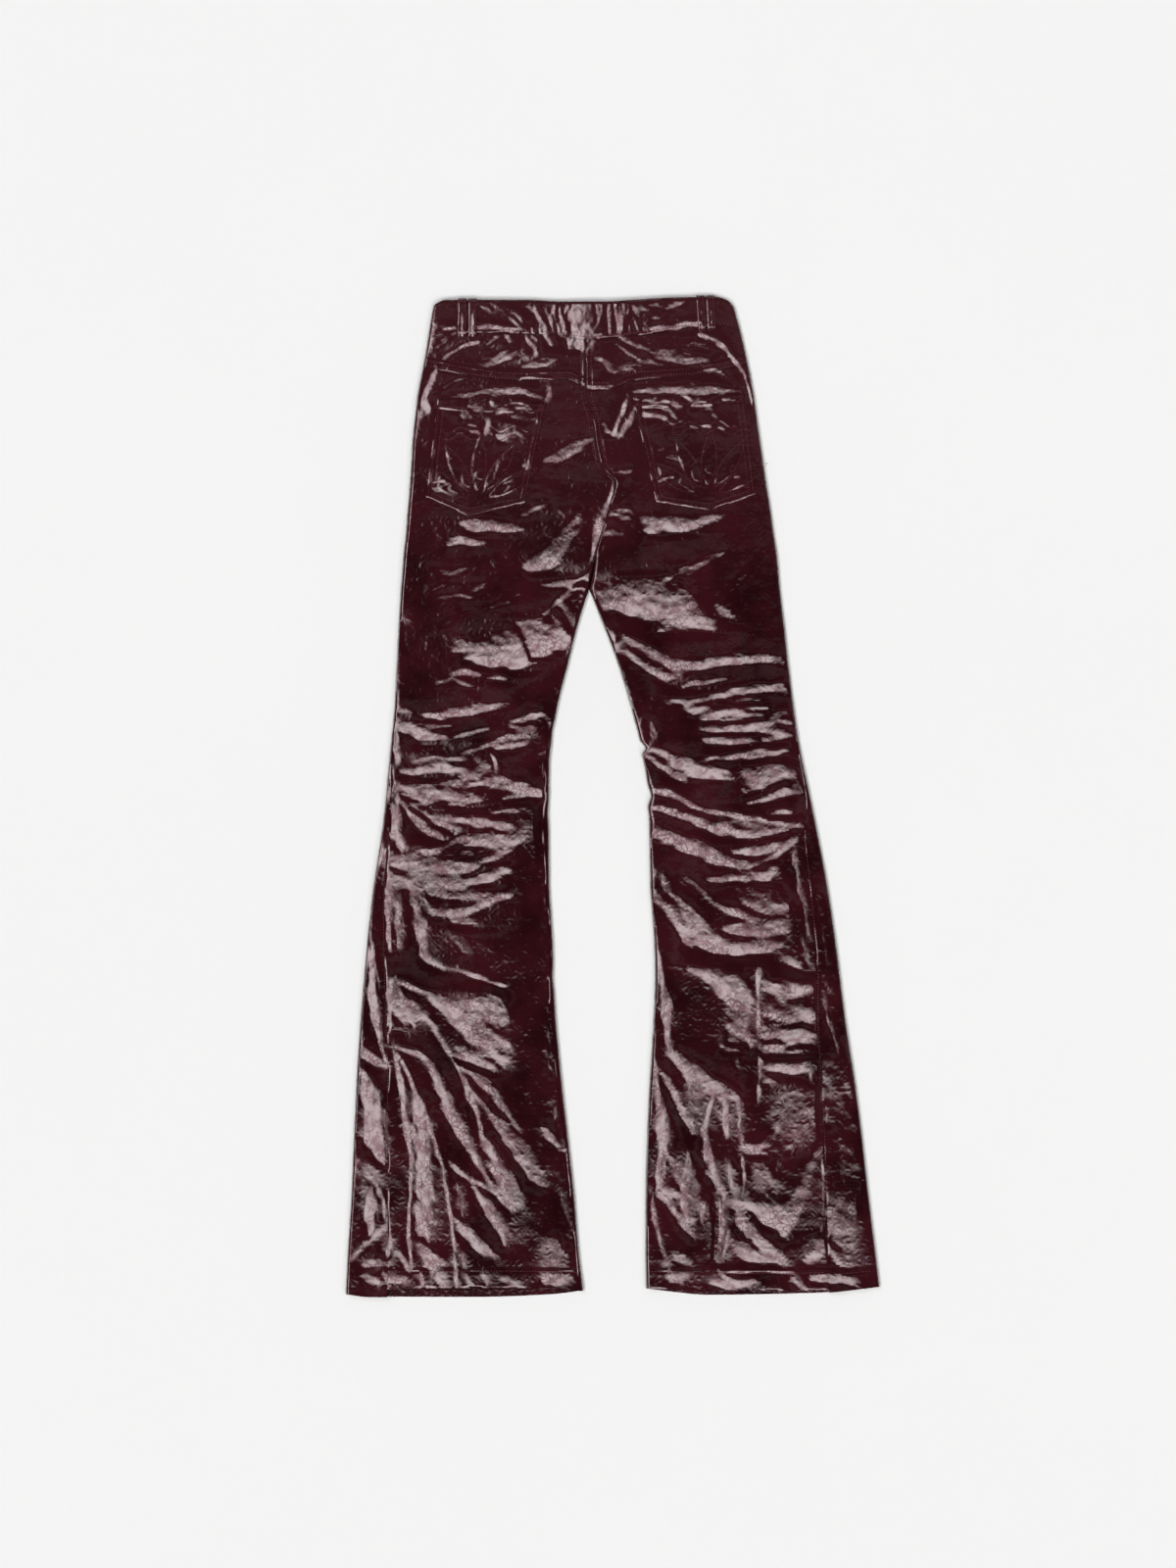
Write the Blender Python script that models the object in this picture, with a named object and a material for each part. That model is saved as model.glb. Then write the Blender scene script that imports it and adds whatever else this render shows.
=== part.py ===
"""Flared patent-leather trousers, laid flat on their front, with the back side up.

Sizes are in millimetres up to the last step, which makes metres. +X is the wearer's right
leg in this view, +Y runs from the hems to the waist and +Z points off the surface.
The cloth is one flattened tube for each half: the front panels lie flat on the surface and
come round the edges, and the back panels, yokes and waistband lie over them with air between.
"""

import math
from collections import namedtuple

import bmesh
import bpy
from mathutils import Vector

METRES = 0.001

# The cloth
WALL = 1.5  # patent leather on its fabric backing
BAND_WALL = 2.4  # the doubled waistband
HEM_WALL = 2.8  # the turned hem
SEAM_GAP = 0.3
PATCH_WALL = 1.3

# The flattened section
EDGE_RADIUS = 5.0  # how far the rounded edge reaches inwards
EDGE_MIDDLE = 4.0  # height of the edge's outermost point
EDGE_TOP = 8.0  # height where the rounding ends and the top starts
EDGE_ARC = math.pi / 2 * math.sqrt((EDGE_RADIUS**2 + EDGE_MIDDLE**2) / 2)
CROWN_REACH = 30.0  # distance in which the top rises to its full loft
LEAST_SEAM = 2.0  # a side seam that lies on the edge itself
FOLD_FADE = 9.0  # folds die out this close to an edge

# Heights up the garment
CROTCH = 231.0
CROTCH_CLOSING = 45.0  # the two thighs part over this height
HEM_LINE = -553.0
HEM_TURN = 21.0
HEM_BLEND = 70.0  # the hem's own curve reaches this far up the rows
YOKE_LINE = 465.0
YOKE_BLEND = 85.0
CENTRE_FRONT = (-29.0, -26.4)  # x at the waist and at the crotch
FRONT_WAIST = 518.0

LEFT, RIGHT = -1, 1

Section = namedtuple("Section", "y outer inner side_seam inseam")
# side_seam and inseam: how far the seams lie in from the edges, on the upper side
LEG = {
    LEFT: (
        Section(-560, -300.3, -32.0, 50, 8),
        Section(-515, -298.0, -37.5, 49, 7),
        Section(-450, -294.0, -42.8, 45, 8),
        Section(-383, -291.0, -50.0, 42, 7),
        Section(-300, -287.0, -59.0, 38, 9),
        Section(-235, -282.3, -64.5, 31, 10),
        Section(-163, -276.1, -67.1, 23, 5),
        Section(-97, -268.4, -70.8, 16, 8),
        Section(-31, -258.5, -71.3, 12, 9),
        Section(35, -251.9, -70.8, 8, 8),
        Section(68, -248.5, -67.0, 5, 5),
        Section(101, -245.4, -61.6, 2, 3),
        Section(145, -243.1, -50.6, 2, 2.5),
        Section(189, -240.9, -39.6, 2, 2),
        Section(231, -238.5, -26.55, 2, 2),
    ),
    RIGHT: (
        Section(-560, 301.1, 37.4, 62, 2),
        Section(-515, 295.9, 36.6, 57, 2),
        Section(-450, 288.0, 36.8, 51, 2),
        Section(-383, 280.5, 38.5, 46, 2),
        Section(-317, 272.0, 41.6, 41, 2),
        Section(-251, 261.8, 45.6, 35, 2),
        Section(-207, 256.3, 47.2, 29, 2),
        Section(-163, 250.8, 46.2, 26, 2),
        Section(-97, 240.9, 41.8, 23, 2),
        Section(-50, 232.0, 41.0, 19, 2),
        Section(2, 221.6, 39.5, 8, 2),
        Section(57, 210.1, 31.0, 6, 2),
        Section(101, 203.5, 19.8, 3, 2),
        Section(145, 198.0, 6.6, 2, 2),
        Section(189, 193.4, -9.9, 2, 2),
        Section(231, 188.3, -26.25, 2, 2),
    ),
}

Hips = namedtuple("Hips", "y left centre_back right")
HIPS = (
    Hips(231, -238.5, -26.4, 188.3),
    Hips(253, -236.6, -22.0, 186.4),
    Hips(276, -234.8, -17.6, 184.2),
    Hips(294, -232.6, -12.0, 181.4),
    Hips(311, -231.4, -5.5, 179.0),
    Hips(330, -229.8, -1.0, 176.2),
    Hips(345, -228.6, 3.0, 173.8),
    Hips(353, -228.0, 4.0, 172.6),
    Hips(362, -227.3, -5.0, 171.3),
    Hips(371, -226.7, -11.5, 169.8),
    Hips(392, -225.7, -17.6, 167.0),
    Hips(422, -222.9, -21.5, 162.8),
    Hips(453, -219.2, -29.4, 158.4),
    Hips(470, -216.0, -29.7, 155.4),
    Hips(487, -212.4, -29.7, 151.8),
    Hips(520, -206.8, -29.7, 144.4),
    Hips(545, -202.6, -29.7, 137.6),
    Hips(563, -198.0, -29.7, 134.0),
)

Loft = namedtuple("Loft", "y height")
# how far the middle of the top stands above its edges
LOFT = (
    Loft(-563, 4.2),
    Loft(-400, 5.0),
    Loft(0, 5.4),
    Loft(231, 6.0),
    Loft(420, 6.0),
    Loft(520, 4.6),
    Loft(563, 3.6),
)

Line = namedtuple("Line", "x y")
YOKE_SEAM = (
    Line(-214, 482),
    Line(-169, 473),
    Line(-107, 466),
    Line(-51, 467),
    Line(-23, 456),
    Line(-4, 456),
    Line(22, 466),
    Line(98, 473),
    Line(154, 485),
)
WAIST_SEAM = (
    Line(-206, 514),
    Line(-174, 520),
    Line(-105, 519),
    Line(-60, 517),
    Line(-30, 512),
    Line(11, 515),
    Line(48, 519),
    Line(96, 526.5),
    Line(126, 527),
    Line(138, 523.4),
    Line(147, 522.8),
)
FRONT_WAIST_SEAM = (
    Line(-206, 514),
    Line(-29, 517),
    Line(147, 523.2),
)
WAIST_EDGE = (
    Line(-204, 549),
    Line(-187, 556.6),
    Line(-95, 556.6),
    Line(-60, 554.8),
    Line(-5, 554.8),
    Line(20, 556.5),
    Line(75, 559.6),
    Line(115, 560.2),
    Line(130, 556),
    Line(137, 548),
)
BACK_HEM = {
    LEFT: (
        Line(-300, -559),
        Line(-272, -554.5),
        Line(-124, -552.2),
        Line(-66, -553.2),
        Line(-32, -555),
    ),
    RIGHT: (
        Line(37, -553),
        Line(107, -555.5),
        Line(200, -555.5),
        Line(270, -553.5),
        Line(300, -551),
    ),
}
FRONT_HEM = {
    LEFT: (
        Line(-300, -559.5),
        Line(-272, -562.8),
        Line(-150, -563.2),
        Line(-66, -560),
        Line(-32, -555.5),
    ),
    RIGHT: (
        Line(37, -553.5),
        Line(60, -556.5),
        Line(107, -560.8),
        Line(230, -558.5),
        Line(300, -551.5),
    ),
}

# Rows of the leg panels: from this height, up to the next one, in steps of about this much
RowBand = namedtuple("RowBand", "start step")
LEG_ROWS = (
    RowBand(HEM_LINE + HEM_TURN + 1, 19.5),
    RowBand(-120, 14),
    RowBand(172, 20),
    RowBand(CROTCH, 12),
    RowBand(303, 16),
    RowBand(375, 22),
    RowBand(YOKE_LINE, 0),
)

Fold = namedtuple("Fold", "x0 y0 x1 y1 bow width height")
# A ridge, or a trough where its height is negative, along a line whose middle bows
# to the left of its direction. width is from its crest to its foot.
FOLDS = (
    # hips
    Fold(-150, 510, -207, 434, -14, 10, 2.0),
    Fold(98, 514, 158, 448, 12, 10, 2.0),
    Fold(-172, 450, -74, 446, 6, 10, 2.2),
    Fold(26, 454, 142, 453, 3, 10, 2.2),
    Fold(-155, 480, -105, 514, 5, 9, 1.8),
    Fold(10, 513, 105, 483, -8, 10, 1.8),
    Fold(-22, 488, 20, 477, -5, 7, 1.5),
    Fold(17, 447, 0, 405, 0, 8, 2.0),
    Fold(-78, 374, -22, 399, 0, 13, 1.8),
    Fold(-182, 306, -112, 300, 0, 13, 2.4),
    Fold(28, 308, 130, 314, -6, 15, 2.4),
    # the crease between the thighs: the left one rolls over the right one
    Fold(-7, 346, -34, 250, 3, 9, 3.0),
    Fold(10, 338, -10, 262, 3, 9, -2.2),
    Fold(-50, 302, -92, 246, 0, 24, 2.4),
    Fold(-28, 250, -74, 204, 4, 9, 2.6),
    # thighs
    Fold(-42, 178, -178, 168, 10, 30, 3.6),
    Fold(-10, 224, 122, 186, 8, 30, 3.6),
    Fold(6, 170, 64, 136, 0, 14, 3.0),
    Fold(60, 136, 197, 152, -4, 12, 3.0),
    # left knee
    Fold(-212, 88, -116, 102, 0, 10, 2.6),
    Fold(-243, 74, -192, 62, 0, 13, 2.5),
    Fold(-168, 46, -90, 68, 2, 13, 3.0),
    Fold(-236, 28, -162, 36, 2, 12, 2.5),
    Fold(-236, -2, -148, -2, 0, 12, 3.0),
    Fold(-130, -2, -70, 2, 0, 9, 2.2),
    Fold(-242, -14, -70, -9, -2, 10, -2.4),
    Fold(-242, -18, -198, -48, 4, 14, 2.6),
    Fold(-248, -58, -172, -42, 2, 9, -2.4),
    Fold(-218, -64, -98, -26, -6, 26, 3.6),
    Fold(-232, -102, -112, -98, 0, 26, 2.2),
    # left calf
    Fold(-222, -178, -118, -208, 0, 10, 2.0),
    Fold(-256, -188, -112, -212, -6, 18, -3.0),
    Fold(-250, -232, -210, -242, 0, 20, 2.8),
    Fold(-186, -232, -126, -286, 0, 28, 3.2),
    Fold(-212, -248, -172, -304, 0, 13, 2.8),
    # folds that fan out from the left side seam
    Fold(-246, -284, -150, -420, 10, 14, 3.2),
    Fold(-152, -418, -124, -502, 0, 13, 2.8),
    Fold(-172, -308, -106, -448, -4, 14, 3.0),
    Fold(-142, -356, -84, -436, 0, 13, 2.4),
    Fold(-240, -292, -178, -532, 12, 10, 2.4),
    Fold(-212, -344, -208, -524, 0, 13, 2.8),
    Fold(-246, -288, -229, -528, 4, 8, 2.0),
    Fold(-172, -478, -134, -518, 0, 12, 2.0),
    Fold(-268, -318, -266, -402, 0, 14, 2.4),
    Fold(-270, -438, -262, -500, 0, 13, 2.2),
    Fold(-62, -384, -50, -492, 4, 10, 2.0),
    # right knee
    Fold(82, 100, 196, 119, 5, 10, 2.5),
    Fold(84, 93, 166, 92, 2, 8, 1.6),
    Fold(98, 74, 200, 78, 0, 9, 2.2),
    Fold(103, 61, 166, 61, 0, 8, 1.6),
    Fold(108, 40, 196, 52, -2, 10, 2.2),
    Fold(36, 48, 134, 22, -8, 15, 3.0),
    Fold(150, 20, 202, 28, 0, 17, 2.4),
    Fold(152, -10, 212, 8, 0, 9, 2.0),
    Fold(42, 3, 210, -34, -8, 10, 2.4),
    Fold(42, -14, 182, -42, -12, 11, 2.4),
    Fold(44, -44, 152, -78, -8, 16, 3.0),
    Fold(134, -66, 206, -48, 0, 13, 2.4),
    Fold(108, -96, 176, -98, 0, 14, 2.0),
    # right calf
    Fold(56, -112, 106, -166, -6, 17, 3.0),
    Fold(104, -164, 182, -166, 0, 17, 2.8),
    Fold(120, -130, 186, -140, 0, 16, 1.8),
    Fold(80, -186, 230, -200, -4, 14, -2.8),
    Fold(92, -202, 142, -276, 0, 22, 3.0),
    Fold(156, -204, 154, -280, 0, 9, -2.0),
    Fold(176, -238, 224, -240, 0, 26, 2.2),
    # right lower leg
    Fold(62, -288, 142, -336, 5, 19, 3.0),
    Fold(50, -306, 53, -432, 0, 10, 2.2),
    Fold(58, -314, 92, -376, 0, 13, 2.0),
    Fold(76, -374, 104, -482, 0, 14, -2.2),
    Fold(152, -346, 160, -390, 0, 17, -2.8),
    Fold(143, -336, 147, -396, 0, 9, 2.2),
    Fold(146, -398, 178, -396, 0, 9, 2.0),
    Fold(178, -396, 216, -332, 0, 20, 2.8),
    Fold(168, -412, 170, -494, 0, 19, 2.8),
    Fold(234, -394, 192, -500, 0, 13, 2.4),
    Fold(122, -438, 118, -526, 0, 12, 2.2),
    Fold(135, -440, 178, -518, 0, 14, 2.8),
    Fold(48, -448, 92, -498, 0, 11, 2.2),
    Fold(250, -306, 246, -352, 0, 14, 2.2),
    Fold(263, -350, 266, -426, 0, 12, 2.0),
    Fold(264, -456, 256, -524, 0, 15, 2.2),
)

Gather = namedtuple("Gather", "x width height")
# upright puckers where the waistband is eased on to the yokes
GATHERS = (
    Gather(-86, 4.0, 0.6),
    Gather(-77, 3.6, 0.8),
    Gather(-69, 3.6, 0.9),
    Gather(-61, 3.6, 0.9),
    Gather(-17, 3.2, 0.8),
    Gather(-10, 3.2, 0.8),
    Gather(-1, 3.6, 0.9),
    Gather(7, 3.2, 0.8),
    Gather(16, 4.0, 0.6),
)

Patch = namedtuple("Patch", "name side corners")
POCKETS = (
    Patch(
        "pocket_left",
        LEFT,
        (Line(-196, 445), Line(-209, 335), Line(-163, 314.5), Line(-98.5, 329), Line(-75, 440)),
    ),
    Patch(
        "pocket_right",
        RIGHT,
        (Line(23, 447), Line(49, 330), Line(109, 320.5), Line(160.5, 338), Line(147, 451)),
    ),
)

Loop = namedtuple("Loop", "name left right lean")
# x of both long sides at the waistband's seam, and how far the top leans to the left
BELT_LOOPS = (
    Loop("belt_loop_1", -173.5, -163.8, 0.0),
    Loop("belt_loop_2", -161.6, -152.0, 0.0),
    Loop("belt_loop_3", 96.5, 105.6, 3.0),
    Loop("belt_loop_4", 107.4, 117.0, 3.0),
)
LOOP_WALL = 1.3
LOOP_BELOW_SEAM = 4.5
LOOP_TOP = 563.2  # the loops fold over the waistband's edge

ZIP_WIDTH, ZIP_LOW, ZIP_HIGH = 24.0, 352.0, 505.0
ZIP_TAPE, ZIP_TEETH_WIDTH, ZIP_TEETH_RISE = 1.0, 5.0, 1.2
HOOK_SIZE = (22.0, 14.0, 1.0)
HOOK_Y = 538.0

BURGUNDY = (0.040, 0.006, 0.010)
DARK_BURGUNDY = (0.030, 0.005, 0.008)


# ---------------------------------------------------------------- smooth curves


def chord(first, second):
    """Slope between two (position, value) pairs."""
    return (second[1] - first[1]) / (second[0] - first[0])


def tangent(pairs, i):
    """Slope at pair i that never overshoots its neighbours."""
    if i in (0, len(pairs) - 1):
        near = 1 if i == 0 else -2
        return chord(pairs[near - 1], pairs[near])
    before, after = chord(pairs[i - 1], pairs[i]), chord(pairs[i], pairs[i + 1])
    if before * after <= 0:
        return 0.0
    return 2 * before * after / (before + after)


def smooth(pairs, at):
    """Value at a position on the smooth curve through (position, value) pairs."""
    if at <= pairs[0][0]:
        return pairs[0][1]
    if at >= pairs[-1][0]:
        return pairs[-1][1]
    i = max(k for k in range(len(pairs) - 1) if pairs[k][0] <= at)
    span = pairs[i + 1][0] - pairs[i][0]
    t = (at - pairs[i][0]) / span
    return (
        pairs[i][1] * (1 + 2 * t) * (1 - t) ** 2
        + pairs[i + 1][1] * t * t * (3 - 2 * t)
        + tangent(pairs, i) * span * t * (1 - t) ** 2
        - tangent(pairs, i + 1) * span * t * t * (1 - t)
    )


def column(table, name):
    """(y, value) pairs of one named column."""
    return tuple((row.y, getattr(row, name)) for row in table)


def ease(t):
    """0 below 0, 1 above 1, smooth between."""
    t = min(max(t, 0.0), 1.0)
    return t * t * (3 - 2 * t)


EDGE_LINES = {
    (side, name): column(LEG[side], name)
    for side in (LEFT, RIGHT)
    for name in ("outer", "inner", "side_seam", "inseam")
}
HIP_LINES = {name: column(HIPS, name) for name in ("left", "centre_back", "right")}
LOFT_LINE = column(LOFT, "height")


def outer_x(side, y):
    """x of the silhouette's outer edge."""
    if y <= CROTCH:
        return smooth(EDGE_LINES[side, "outer"], y)
    return smooth(HIP_LINES["left" if side == LEFT else "right"], y)


def inner_x(side, y, front=False):
    """x of the inner edge of a leg, or of the centre seam above the crotch."""
    if y <= CROTCH:
        return smooth(EDGE_LINES[side, "inner"], y)
    if not front:
        return smooth(HIP_LINES["centre_back"], y) + side * SEAM_GAP / 2
    waist, crotch = CENTRE_FRONT
    rise = (y - CROTCH) / (FRONT_WAIST - CROTCH)
    return crotch + (waist - crotch) * min(rise, 1.0) + side * SEAM_GAP / 2


def closing(y):
    """1 where the inner edge is a leg's rounded edge, 0 where the halves are joined."""
    return 1 - ease((y - CROTCH) / CROTCH_CLOSING)


def side_seam(side, y):
    return smooth(EDGE_LINES[side, "side_seam"], y)


def inseam(side, y):
    return smooth(EDGE_LINES[side, "inseam"], y) if y <= CROTCH else 0.0


# ---------------------------------------------------------------- height of the top


def fold_height(fold, x, y):
    """Height that one fold adds at (x, y)."""
    along = Vector((fold.x1 - fold.x0, fold.y1 - fold.y0))
    length = along.length
    along /= length
    reach = Vector((x - fold.x0, y - fold.y0))
    u = reach.dot(along)
    taper = min(1.6 * fold.width, length / 2)
    ends = ease((u + taper / 2) / taper) * ease((length - u + taper / 2) / taper)
    if ends == 0:
        return 0.0
    middle = 2 * min(max(u / length, 0.0), 1.0) - 1
    across = (along.x * reach.y - along.y * reach.x) - fold.bow * (1 - middle * middle)
    if abs(across) >= fold.width:
        return 0.0
    return fold.height * ends * (1 + math.cos(math.pi * across / fold.width)) / 2


def top_height(x, y):
    """Height of the upper side's outer face, away from the rounded edges."""
    side = LEFT if x < inner_x(LEFT, y) + SEAM_GAP / 2 else RIGHT
    from_outer = max(side * (outer_x(side, y) - x), 0.0)
    from_inner = max(side * (x - inner_x(side, y)), 0.0)
    from_inner += (1 - closing(y)) * 10 * CROWN_REACH
    swell = 1.0
    for distance in (from_outer, from_inner):
        swell *= 1 - math.exp(-distance / CROWN_REACH)
    near = min(from_outer, from_inner)
    folds = sum(fold_height(fold, x, y) for fold in FOLDS)
    return EDGE_TOP + smooth(LOFT_LINE, y) * swell + folds * ease(near / FOLD_FADE)


def band_height(x, y):
    """Height of the waistband's outer face: two layers and its gathers."""
    puckers = sum(
        gather.height * (1 + math.cos(math.pi * min(abs(x - gather.x) / gather.width, 1))) / 2
        for gather in GATHERS
    )
    return top_height(x, y) + BAND_WALL - WALL + puckers


# ---------------------------------------------------------------- points of the flattened tube


class Half:
    """One half of the garment, as a flattened tube that its pieces share."""

    def __init__(self, side, front=False, height=top_height):
        self.side = side
        self.front = front
        self.height = height

    def width(self, y):
        return self.side * (outer_x(self.side, y) - inner_x(self.side, y, self.front))

    def upper(self, p, y, wall):
        """Outer and inner face points, p along the top from the inner edge."""
        total = self.width(y) - 2 * EDGE_RADIUS + 2 * EDGE_ARC
        from_outer = p > total / 2
        q = total - p if from_outer else p
        shut = 1.0 if from_outer else closing(y)
        if q >= EDGE_ARC:
            inward, rise, shift = EDGE_RADIUS + q - EDGE_ARC, 1.0, 0.0
        else:
            turn = q / EDGE_ARC * math.pi / 2
            inward = EDGE_RADIUS * ((1 - shut) * q / EDGE_ARC + shut * (1 - math.cos(turn)))
            rise = 1 - shut * (1 - math.sin(turn))
            shift = wall * shut * math.cos(turn)
        x, x_inside = self.across(inward, shift, from_outer, y)
        lift = self.height(x, y) - EDGE_MIDDLE
        outside = Vector((x, y, EDGE_MIDDLE + rise * lift))
        return outside, Vector((x_inside, y, EDGE_MIDDLE + rise * (lift - wall)))

    def lower(self, q, y, wall):
        """Outer and inner face points, q along the underside from the outer edge."""
        total = self.width(y) - 2 * EDGE_RADIUS + 2 * EDGE_ARC
        from_outer = q < total / 2
        r = q if from_outer else total - q
        shut = 1.0 if from_outer else closing(y)
        if r >= EDGE_ARC:
            inward, drop, shift = EDGE_RADIUS + r - EDGE_ARC, 1.0, 0.0
        else:
            turn = r / EDGE_ARC * math.pi / 2
            inward = EDGE_RADIUS * ((1 - shut) * r / EDGE_ARC + shut * (1 - math.cos(turn)))
            drop = 1 - shut * (1 - math.sin(turn))
            shift = wall * shut * math.cos(turn)
        x, x_inside = self.across(inward, shift, from_outer, y)
        outside = Vector((x, y, EDGE_MIDDLE * (1 - drop)))
        return outside, Vector((x_inside, y, EDGE_MIDDLE - drop * (EDGE_MIDDLE - wall)))

    def across(self, inward, shift, from_outer, y):
        if from_outer:
            start, way = outer_x(self.side, y), -self.side
        else:
            start, way = inner_x(self.side, y, self.front), self.side
        return start + way * inward, start + way * (inward + shift)

    def top_length(self, y):
        return self.width(y) - 2 * EDGE_RADIUS + 2 * EDGE_ARC


def steps(start, end, count):
    """count evenly spaced values after start, the last one being end."""
    return [start + (end - start) * (i + 1) / count for i in range(count)]


def back_columns(half, y, inner_seam, outer_seam, inner_steps=2, flat_steps=8):
    """Positions across the top, close together beside both seams."""
    low = inner_seam + SEAM_GAP / 2 * closing(y)
    high = half.top_length(y) - outer_seam - SEAM_GAP / 2
    near = max(EDGE_ARC, low + 4)
    far = min(half.top_length(y) - EDGE_ARC, high - 4)
    return (
        [low]
        + steps(low, near, inner_steps)
        + steps(near, far, flat_steps)
        + steps(far, high, 2)
    )


def front_columns(half, y, inner_seam, outer_seam):
    """Positions round the lower layer: negative ones lie on the top, past the outer edge."""
    start = -outer_seam + SEAM_GAP / 2
    bend = -min(EDGE_ARC, 0.6 * outer_seam)
    total = half.top_length(y)
    end = total + inner_seam - SEAM_GAP / 2 * closing(y)
    return (
        [start]
        + steps(start, bend, 3)
        + steps(bend, EDGE_ARC, 4)
        + steps(EDGE_ARC, total - EDGE_ARC, 3)
        + steps(total - EDGE_ARC, end, 4)
    )


def front_point(half, q, y, wall):
    total = half.top_length(y)
    if q < 0:
        return half.upper(total + q, y, wall)
    if q > total:
        return half.upper(q - total, y, wall)
    return half.lower(q, y, wall)


def settle(place, row, level):
    """A point whose height up the garment depends on its own x: place gives the pair for a y."""
    y = level
    for _ in range(4):
        outside, inside = place(y)
        y = row(outside.x)
    return outside, inside


# ---------------------------------------------------------------- meshes


def finish(name, mesh, colour, roughness=0.16, metallic=0.0, coat=1.0):
    """An object in metres, with faces out, smooth shading and its own material."""
    bmesh.ops.recalc_face_normals(mesh, faces=mesh.faces)
    bmesh.ops.scale(mesh, vec=(METRES,) * 3, verts=mesh.verts)
    data = bpy.data.meshes.new(name)
    mesh.to_mesh(data)
    mesh.free()
    data.shade_smooth()
    data.set_sharp_from_angle(angle=math.radians(50))
    material = bpy.data.materials.new(name)
    material.use_nodes = True
    shader = material.node_tree.nodes["Principled BSDF"]
    shader.inputs["Base Color"].default_value = (*colour, 1.0)
    shader.inputs["Roughness"].default_value = roughness
    shader.inputs["Metallic"].default_value = metallic
    shader.inputs["Coat Weight"].default_value = coat
    data.materials.append(material)
    made = bpy.data.objects.new(name, data)
    bpy.context.scene.collection.objects.link(made)
    return made


def skin(mesh, grid):
    """Vertices of one face of the cloth, and its triangles."""
    rows = [[mesh.verts.new(point) for point in row] for row in grid]
    for low, high in zip(rows, rows[1:]):
        for i in range(len(low) - 1):
            mesh.faces.new((low[i], low[i + 1], high[i + 1]))
            mesh.faces.new((low[i], high[i + 1], high[i]))
    return rows


def border(rows):
    """The vertices round the edge of a grid, in order."""
    right = [row[-1] for row in rows[1:-1]]
    left = [row[0] for row in reversed(rows[1:-1])]
    return rows[0] + right + rows[-1][::-1] + left


def wall_mesh(pairs):
    """A closed wall from a grid of (outside, inside) points."""
    mesh = bmesh.new()
    outside = skin(mesh, [[pair[0] for pair in row] for row in pairs])
    inside = skin(mesh, [[pair[1] for pair in row] for row in pairs])
    first, second = border(outside), border(inside)
    for i in range(len(first)):
        j = (i + 1) % len(first)
        mesh.faces.new((first[i], first[j], second[j], second[i]))
    return mesh


def leg_rows():
    """Nominal heights of the rows of the leg panels, from the hem to the yoke seam."""
    rows = [HEM_LINE, HEM_LINE + HEM_TURN / 2, HEM_LINE + HEM_TURN]
    for band, after in zip(LEG_ROWS, LEG_ROWS[1:]):
        rows.append(band.start)
        rows += steps(band.start, after.start, round((after.start - band.start) / band.step))[:-1]
    return rows + [YOKE_LINE]


def shifted_row(level, hem, top, blend):
    """y of one row as a function of x, so that the end rows follow the hem and the seam."""
    low = min(max((HEM_LINE + HEM_BLEND - level) / HEM_BLEND, 0.0), 1.0)
    high = min(max((level - blend[0] + blend[1]) / blend[1], 0.0), 1.0)

    def row(x):
        drop = low * (smooth(hem, x) - HEM_LINE) if low else 0.0
        lift = high * (top(x) - blend[0]) if high else 0.0
        return level + drop + lift

    return row


def cloth_wall(level):
    return HEM_WALL if level <= HEM_LINE + HEM_TURN else WALL


def build_back(side):
    """A back leg panel, from the yoke seam to the hem."""
    half = Half(side)
    top = lambda x: smooth(YOKE_SEAM, x) - SEAM_GAP / 2
    grid = []
    for level in leg_rows():
        row = shifted_row(level, BACK_HEM[side], top, (YOKE_LINE, YOKE_BLEND))
        count = len(back_columns(half, level, inseam(side, level), side_seam(side, level)))

        def place(y, i):
            p = back_columns(half, y, inseam(side, y), side_seam(side, y))[i]
            return half.upper(p, y, cloth_wall(level))

        grid.append([settle(lambda y, i=i: place(y, i), row, level) for i in range(count)])
    name = "back_left" if side == LEFT else "back_right"
    finish(name, wall_mesh(grid), BURGUNDY)
    return grid


def build_front(side):
    """A front leg panel, flat on the surface, with both edges turned up round the leg."""
    half = Half(side, front=True)
    top = lambda x: smooth(FRONT_WAIST_SEAM, x) - SEAM_GAP / 2
    grid = []
    for level in leg_rows() + [FRONT_WAIST - 26, FRONT_WAIST]:
        row = shifted_row(level, FRONT_HEM[side], top, (FRONT_WAIST, YOKE_BLEND))
        count = len(front_columns(half, level, inseam(side, level), side_seam(side, level)))

        def place(y, i):
            q = front_columns(half, y, inseam(side, y), side_seam(side, y))[i]
            return front_point(half, q, y, cloth_wall(level))

        grid.append([settle(lambda y, i=i: place(y, i), row, level) for i in range(count)])
    name = "front_left" if side == LEFT else "front_right"
    finish(name, wall_mesh(grid), DARK_BURGUNDY)


def seam_rows(low, high, count):
    """Rows between two seams that each follow x."""
    return [
        (lambda x, t=i / count: low(x) + t * (high(x) - low(x))) for i in range(count + 1)
    ]


def build_yoke(side):
    """A back yoke between the leg panel and the waistband."""
    half = Half(side)
    low = lambda x: smooth(YOKE_SEAM, x) + SEAM_GAP / 2
    high = lambda x: smooth(WAIST_SEAM, x) - SEAM_GAP / 2
    grid = []
    for row in seam_rows(low, high, 5):
        count = len(back_columns(half, YOKE_LINE, 0.0, LEAST_SEAM))

        def place(y, i):
            return half.upper(back_columns(half, y, 0.0, LEAST_SEAM)[i], y, WALL)

        grid.append([settle(lambda y, i=i: place(y, i), row, YOKE_LINE) for i in range(count)])
    finish("yoke_left" if side == LEFT else "yoke_right", wall_mesh(grid), BURGUNDY)


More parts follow.
